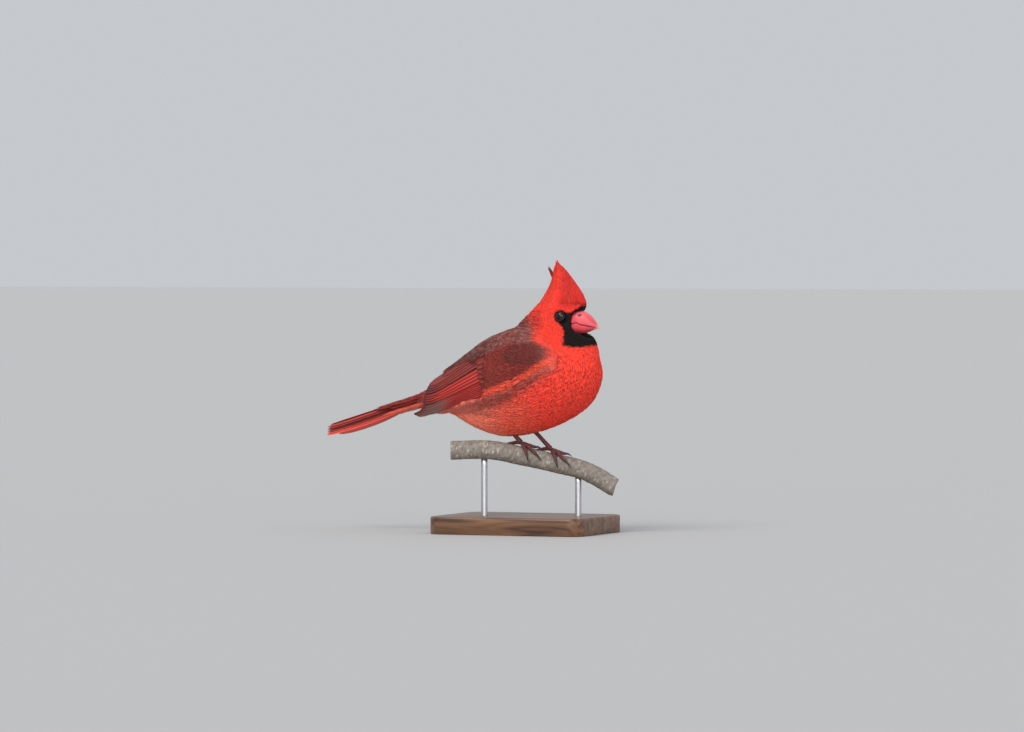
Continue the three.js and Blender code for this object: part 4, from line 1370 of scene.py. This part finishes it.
# Halves of the bill: x, height of the edge between them, height of the ridge, half width
BILL_UPPER = [
    [5.5, -5.0, 2.6, 6.2], [8, -5.1, 3.4, 6.4], [11, -5.4, 3.9, 6.0], [14, -5.8, 3.4, 5.2],
    [18, -6.4, 1.2, 4.1], [21.5, -7.0, -2.2, 2.8], [24, -7.8, -5.4, 1.4], [25, -8.5, -7.4, 0.4],
]
BILL_LOWER = [
    [5.5, -5.4, -11.3, 6.2], [8, -5.5, -11.8, 6.3], [11, -5.8, -11.9, 5.8], [14, -6.2, -11.5, 5.0],
    [18, -6.8, -10.4, 3.6], [21, -7.3, -9.2, 2.2], [23.2, -7.9, -8.5, 0.6],
]
NOSTRIL = {"x": 12.4, "z": 0.9, "radius": 0.85, "depth": 0.6}
NOTCH = {"x": 10.6, "width": 1.7, "rise": 1.0}
CORAL = linear(216, 68, 79)
# A painted highlight for the ridge of the bill
CORAL_RIDGE_HIGHLIGHT = linear(238, 130, 130)
CORAL_DEEP = linear(184, 56, 66)
HORN_TIP = linear(232, 138, 130)
# Painted shade for the inside of the nostril
PIT_SHADE = linear(70, 24, 28)


def bill_half(table):
    columns = [smooth(table, column) for column in (1, 2, 3)]
    front = table[-1][0]
    x = mix(table[0][0], front, np.linspace(0, 1, 56) ** 0.85)[:, None]
    tomium, edge, half = (column(x) for column in columns)
    upper = edge[0, 0] > tomium[0, 0]
    notch = NOTCH["rise"] * np.exp(-(((x - NOTCH["x"]) / NOTCH["width"]) ** 2))
    tomium = tomium + notch
    arch = np.linspace(0, math.pi, 45)[None, :]
    y = half * np.cos(arch)
    z = tomium + (edge - tomium) * np.sin(arch) ** 0.85
    floor = np.linspace(-1, 1, 12)[None, 1:-1]
    y = np.concatenate([y, half * floor], axis=1)
    z = np.concatenate([z, tomium * np.ones_like(floor)], axis=1)
    x = x * np.ones_like(y)
    pit = np.zeros_like(y)
    if upper:
        pit = soft(NOSTRIL["radius"] - np.hypot((x - NOSTRIL["x"]) / 1.5, z - NOSTRIL["z"]), 0.5)
        pit = pit * (np.abs(y) > 2)
    colors = np.broadcast_to(CORAL, y.shape + (3,)).copy()
    paint = painter(colors)
    rise = np.clip((z - tomium) / np.where(np.abs(edge - tomium) < 0.1, 0.1, edge - tomium), 0, 1)
    # Painted shade in the crease along the gape, where the halves meet
    paint(CORAL_DEEP, 0.55 * soft(0.12 - rise, 0.22))
    # Painted highlight along the ridge of each half
    paint(CORAL_RIDGE_HIGHLIGHT, (0.45 if upper else 0.15) * soft(rise - 0.86, 0.3))
    paint(CORAL_DEEP, 0.4 * soft(x - 17, 8))
    paint(HORN_TIP, 0.85 * soft(x - front + 1.0, 1.4))
    # Painted shade inside the nostril's hollow
    paint(PIT_SHADE, pit)
    y = y - np.sign(y) * NOSTRIL["depth"] * pit
    return head_point(x, y, z), colors


def make_bill():
    material, shader = marked_material("bill_horn", 0.36, 260, 0.06, 0.15, 0.12, specular=0.45)
    shader.inputs["Subsurface Weight"].default_value = 0.12
    shader.inputs["Subsurface Radius"].default_value = (0.0012, 0.0005, 0.0004)
    shader.inputs["Coat Weight"].default_value = 0.15
    shader.inputs["Coat Roughness"].default_value = 0.25
    for name, table in (("upper", BILL_UPPER), ("lower", BILL_LOWER)):
        rings, colors = bill_half(table)
        ring_piece(f"bill_{name}_horn", [rings], [colors], material, [f"bill_{name}"])


# Eyes and lids

PUPIL = 1.9
IRIS = 2.9
EYE_BLACK = linear(8, 8, 10)
EYE_BROWN = linear(46, 26, 20)
LID = {"radius": 3.2, "tube": 0.72}
LID_GREY = linear(19, 17, 19)


def make_eyes():
    material, shader = marked_material("eye_wet", 0.08, 500, 0.05, 0.0, 0.0, specular=0.2)
    shader.inputs["Coat Weight"].default_value = 0.35
    shader.inputs["Coat Roughness"].default_value = 0.03
    lid_look, _ = marked_material("lid_skin", 0.55, 1200, 0.15, 0.4, 0.1)
    levels = np.linspace(0.01, math.pi - 0.01, 41)[:, None]
    turns = circle(56)[None, :]
    x = EYE["x"] + EYE["radius"] * np.sin(levels) * np.cos(turns)
    y = EYE["y"] + EYE["radius"] * np.cos(levels) * np.ones_like(turns)
    z = EYE["radius"] * np.sin(levels) * np.sin(turns)
    off = np.hypot(x - EYE["x"], z)
    colors = np.broadcast_to(EYE_BLACK, off.shape + (3,)).copy()
    painter(colors)(EYE_BROWN, soft(IRIS - off, 0.3) * soft(off - PUPIL, 0.2))
    for name, side in SIDES.items():
        rings = head_point(x, side * y, z)
        ring_piece(f"eyeball_{name}", [rings], [colors], material, [f"eye_{name}"])
        make_lid(name, side, lid_look)


def make_lid(name, side, material):
    """A leathery rim on the eye's own curve, drawn to a point before and behind, finely notched."""
    loop = circle(96)
    corner = np.abs(np.cos(loop)) ** 8
    x = LID["radius"] * np.cos(loop) * (1.02 + 0.12 * corner)
    z = LID["radius"] * np.sin(loop) * 0.94
    ball = (EYE["radius"] + 0.05) ** 2
    y = EYE["y"] + np.sqrt(np.maximum(ball - x**2 - z**2, 3.0))
    radii = LID["tube"] * (1 + 0.1 * np.sin(loop * 26)) * (1 - 0.35 * corner)
    outward = np.stack([np.cos(loop), np.zeros_like(loop), np.sin(loop)], axis=-1)
    middle = np.stack([EYE["x"] + x, y, z], axis=-1)
    sideways = np.array([0, 1.0, 0])
    rings = round_about(middle[:, None], outward[:, None], sideways, radii[:, None], circle(12))
    points = head_point(rings[..., 0], side * rings[..., 1], rings[..., 2]).reshape(-1, 3)
    count, sides = rings.shape[:2]
    i, k = np.meshgrid(np.arange(count), np.arange(sides), indexing="ij")
    j, after = (i + 1) % count, (k + 1) % sides
    faces = np.stack([i * sides + k, i * sides + after, j * sides + after, j * sides + k], axis=-1)
    mesh = closed_mesh(f"lid_{name}", points, faces.reshape(-1, 4).tolist())
    set_markings(mesh, np.broadcast_to(LID_GREY, points.shape))
    add_piece(f"lid_{name}", mesh, material)


# Legs, feet and claws

TARSUS = {"radius": 1.45, "length": 22, "lean": math.radians(45), "sides": 20, "scutes": 11}
FEET = {"right": -10, "left": 10}
# Toes: name, turn from the branch's line in degrees, length, length of the claw
TOES = [("inner", 14, 10.5, 5), ("middle", 38, 14.5, 5.5), ("outer", 63, 11.5, 5), ("hind", 218, 9, 6.5)]
TOE_SIDES = 18
CLAW_SIDES = 14
LEG = linear(96, 50, 48)
LEG_DARK = linear(58, 28, 30)
LEG_PALE = linear(134, 82, 76)
CLAW = linear(46, 32, 32)
CLAW_TIP = linear(66, 52, 48)


def scutes(count):
    """Overlapping plates along a tube: how the radius and the colour step along it."""

    def shape(turns, t):
        return 1 + 0.09 * ((t * count) % 1 - 0.5) + 0.03 * np.cos(3 * turns)

    def color(t):
        plate = ((t * count) % 1)[..., None]
        c = mix(LEG, LEG_DARK, ease((0.22 - plate) / 0.22))
        return mix(c, LEG_PALE, 0.35 * ease((plate - 0.6) / 0.4))

    return shape, color


def scaled_tube(path, radii, sides, plates):
    shape, color = scutes(plates)
    rings = tube(path, radii, sides, shape)
    t = np.linspace(0, 1, len(path))
    return rings, np.repeat(color(t)[:, None], sides, axis=1)


def scaled_toe(foot, turn, length):
    t = np.linspace(0, 1, 70)
    path = grip_point(foot, turn, t * length, 0.5 * (1 - t) ** 2)
    pads = 1 + 0.06 * np.cos(2 * math.pi * t * round(length / 4))
    radii = TOE_RADIUS * mix(1.14, 0.9, t) * pads
    radii[-3:] *= [0.95, 0.85, 0.7]
    return scaled_tube(path, radii, TOE_SIDES, length * 0.9)


def talon(foot, turn, length, claw):
    """A curved claw that runs on from the end of its toe."""
    t = np.linspace(0, 1, 30)
    lift = 0.9 * np.sin(math.pi * t) - 0.5 * t
    path = grip_point(foot, turn, length - 0.4 + t * (claw + 0.7), lift)
    rings = tube(path, mix(TOE_RADIUS * 0.78, 0.12, t**1.2), CLAW_SIDES)
    tint = mix(CLAW, CLAW_TIP, t[:, None] ** 2)
    return rings, np.repeat(tint[:, None], CLAW_SIDES, axis=1)


def shank(foot):
    t = np.linspace(0, 1, 100)
    lean = np.array([-math.cos(TARSUS["lean"]), 0, math.sin(TARSUS["lean"])])
    path = grip_point(foot, 0, np.array([0.0]), 0.9) + t[:, None] * TARSUS["length"] * lean
    radii = TARSUS["radius"] * mix(1.15, 0.98, np.sin(math.pi * t))
    return scaled_tube(path, radii, TARSUS["sides"], TARSUS["scutes"])


def make_feet():
    leg_look, _ = marked_material("leg_scutes", 0.55, 700, 0.14, 0.5, 0.12)
    claw_look, _ = marked_material("claw_horn", 0.35, 400, 0.1, 0.1, 0.05, specular=0.5)
    for name, foot in FEET.items():
        rings, colors = shank(foot)
        ring_piece(f"shank_{name}", [rings], [colors], leg_look, [f"tarsus_{name}"])
        for toe, turn, length, claw in TOES:
            rings, colors = talon(foot, turn, length, claw)
            ring_piece(f"talon_{name}_{toe}", [rings], [colors], claw_look, [f"claw_{name}_{toe}"])
        shapes, shades = zip(*(scaled_toe(foot, turn, length) for _, turn, length, _ in TOES))
        ring_piece(f"toes_{name}", shapes, shades, leg_look, [f"foot_{name}"])


# Perch

BARK_GREY = linear(140, 133, 125)
BARK_BROWN = linear(106, 92, 82)
LENTICEL = linear(182, 174, 162)
LENTICELS = 170
LICHEN = linear(160, 158, 148)
SAPWOOD = linear(196, 172, 132)
HEARTWOOD = linear(150, 112, 76)
# Knots: place along, turn round the branch, height, width
KNOTS = [
    (-44, 0.9, 1.0, 3.0), (-24, 3.6, 0.7, 2.4), (27, 4.4, 0.8, 2.6), (47, 1.4, 0.9, 3.0), (40, 3.4, 0.6, 2.0)
]


def waves(a, t, scale, seed, count):
    """Crossing waves along and round the branch, with a random seed of their own."""
    draw = np.random.default_rng(seed)
    total = np.zeros_like(a)
    for _ in range(count):
        k = draw.integers(1, 9)
        f = draw.uniform(0.3, 1.6) * scale
        total += np.sin(a * f + t * k + draw.uniform(0, 6.3)) / count
    return total


def off_round(t, turn):
    """How far turns round the branch lie from another, along its girth."""
    return np.angle(np.exp(1j * (t - turn))) * BRANCH_RADIUS


def make_perch():
    along = np.linspace(BRANCH[0][0], BRANCH[-1][0], 240)
    centre = branch_point(along)
    up = branch_up(along)
    a, t = np.meshgrid(along, circle(96), indexing="ij")
    rough = 0.16 * waves(a, t, 0.25, 3, 5) + 0.14 * waves(a, t, 0.9, 4, 9) + 0.1 * waves(a, t, 3.0, 5, 14)
    knots = np.zeros_like(a)
    for place, turn, height, width in KNOTS:
        knots += height * np.exp(-((a - place) ** 2 + off_round(t, turn) ** 2) / (width / 1.6) ** 2)
    end = np.minimum(a - along[0], along[-1] - a)
    reach = BRANCH_RADIUS - 0.2 + rough + knots - 0.5 * ease(1 - end / 0.8)
    rings = round_about(centre[:, None], up[:, None], BRANCH_NEAR, reach, t)
    colors = np.broadcast_to(BARK_GREY, rings.shape).copy()
    paint = painter(colors)
    paint(BARK_BROWN, 0.45 * soft(waves(a, t, 2.2, 8, 11) + 0.1, 0.9))
    paint(LICHEN, 0.3 * soft(waves(a, t, 0.7, 9, 9) - 0.25, 0.5))
    draw = np.random.default_rng(12)
    for _ in range(LENTICELS):
        place, turn = draw.uniform(along[0], along[-1]), draw.uniform(0, 2 * math.pi)
        wide = draw.uniform(0.7, 1.6)
        spot = 1 - np.hypot((a - place) / 0.35, off_round(t, turn) / wide)
        paint(LENTICEL, 0.8 * soft(spot, 0.6))
    material, _ = marked_material("bark", 0.88, 420, 0.22, 0.7, 0.35, specular=0.15)
    ring_piece("branch", [rings], [colors], material, ["perch"])
    make_cut_ends(centre, up)


def make_cut_ends(centre, up):
    """Sawn ends: a thin disc on each, with growth rings about its middle."""
    material, _ = marked_material("sawn_wood", 0.7, 300, 0.1, 0.2, 0.05)
    turns = circle(64)
    for name, i, j in (("low", -1, -2), ("high", 0, 1)):
        way = unit(centre[i] - centre[j])
        disc = []
        tints = []
        for r in np.linspace(0.05, BRANCH_RADIUS - 0.75, 40):
            disc.append(round_about(centre[i] + way * 0.06, up[i], BRANCH_NEAR, r, turns))
            year = 0.5 + 0.5 * math.sin(r * 7.5 + 0.3 * math.sin(r * 3))
            tint = mix(SAPWOOD, HEARTWOOD, 0.55 * year + 0.3 * (r < 1))
            tints.append(np.broadcast_to(tint, disc[-1].shape))
        disc.append(disc[-1] - way * 0.4)
        tints.append(tints[-1])
        ring_piece(f"sawn_end_{name}", [np.array(disc)], [np.array(tints)], material)


# Stand

BASE = {"length": 112, "width": 84, "height": 12, "corner": 10, "bevel": 1.4, "chamfer": 0.6}
FLOOR = -ORIGIN[2]
ROD = {"radius": 2.2, "places": (-33, 31), "sunk": 6, "cover": 0.6, "sides": 48, "rings": 12}
WALNUT = linear(132, 92, 62)
WALNUT_DARK = linear(66, 42, 28)


def rounded_outline(inset, steps=16):
    x = BASE["length"] / 2 - BASE["corner"]
    y = BASE["width"] / 2 - BASE["corner"]
    radius = BASE["corner"] - inset
    points = []
    for k, (sx, sy) in enumerate(((1, 1), (-1, 1), (-1, -1), (1, -1))):
        angles = np.linspace(k, k + 1, steps) * math.pi / 2
        points += [(sx * x + radius * math.cos(a), sy * y + radius * math.sin(a)) for a in angles]
    return np.array(points) + [-ORIGIN[0], 0]


def stretched_noise(add, scale, **values):
    """Noise of a material, finer along some axes of the object than along others."""
    place = add("ShaderNodeTexCoord").outputs["Object"]
    stretched = add("ShaderNodeMapping", [("Vector", place)], Scale=scale)
    noise = add("ShaderNodeTexNoise", [("Vector", stretched.outputs["Vector"])], Scale=1.0, **values)
    return noise.outputs["Fac"]


def wood_material():
    material, shader, add = new_material("walnut", 0.42)
    grain = stretched_noise(add, (12, 160, 160), Detail=6.0, Distortion=1.2)
    ramp = add("ShaderNodeValToRGB", [("Fac", grain)])
    for element, position, color in zip(ramp.color_ramp.elements, (0.35, 0.68), (WALNUT_DARK, WALNUT)):
        element.position = position
        element.color = (*color, 1)
    bump = add("ShaderNodeBump", [("Height", grain)], Strength=0.2, Distance=0.2 * MM)
    dress(shader, ramp, bump)
    shader.inputs["Coat Weight"].default_value = 0.2
    shader.inputs["Coat Roughness"].default_value = 0.3
    return material


def steel_material():
    material, shader, add = new_material("brushed_steel", 0.34)
    lines = stretched_noise(add, (2500, 2500, 60), Detail=2.0)
    rough = remap(add, lines, *NOISE_RANGE, 0.28, 0.44)
    bump = add("ShaderNodeBump", [("Height", lines)], Strength=0.12, Distance=0.03 * MM)
    links = shader.id_data.links
    links.new(rough, shader.inputs["Roughness"])
    links.new(bump.outputs["Normal"], shader.inputs["Normal"])
    shader.inputs["Metallic"].default_value = 1.0
    shader.inputs["Base Color"].default_value = (0.56, 0.56, 0.58, 1)
    return material


def base_levels():
    """Height and inset of each ring of the base: a small chamfer below, a round bevel above."""
    top, bevel = BASE["height"], BASE["bevel"]
    levels = [(0, BASE["chamfer"]), (BASE["chamfer"], 0)]
    for a in np.linspace(0, math.pi / 2, 7):
        levels.append((top - bevel + bevel * math.sin(a), bevel * (1 - math.cos(a))))
    return levels


def make_stand():
    rings = []
    for height, inset in base_levels():
        outline = rounded_outline(inset)
        rings.append(np.column_stack([outline, np.full(len(outline), FLOOR + height)]))
    base = ring_piece("plinth", [np.array(rings)], None, wood_material(), ["stand_base"])
    base.data.polygons[-1].use_smooth = False
    steel = steel_material()
    turns = circle(ROD["sides"])
    for i, along in enumerate(ROD["places"]):
        foot = branch_point(np.array(along, float))
        x, y = foot[0] + ROD["radius"] * np.cos(turns), foot[1] + ROD["radius"] * np.sin(turns)
        low = FLOOR + BASE["height"] - ROD["sunk"]
        high = foot[2] - BRANCH_RADIUS + ROD["cover"]
        rings = [np.column_stack([x, y, np.full(len(x), z)]) for z in np.linspace(low, high, ROD["rings"])]
        ring_piece(f"rod_{i + 1}", [np.array(rings)], None, steel, [f"stand_rod_{i + 1}"])


plumage = plumage_material()
vane_look = vane_material()
make_camera()
make_studio()
skin = make_skin(plumage)
make_coat(skin, plumage)
make_crest(plumage)
for wing_name, wing_side in SIDES.items():
    make_wing(wing_name, wing_side, plumage, vane_look)
make_tail(plumage, vane_look)
make_bill()
make_eyes()
make_feet()
make_perch()
make_stand()
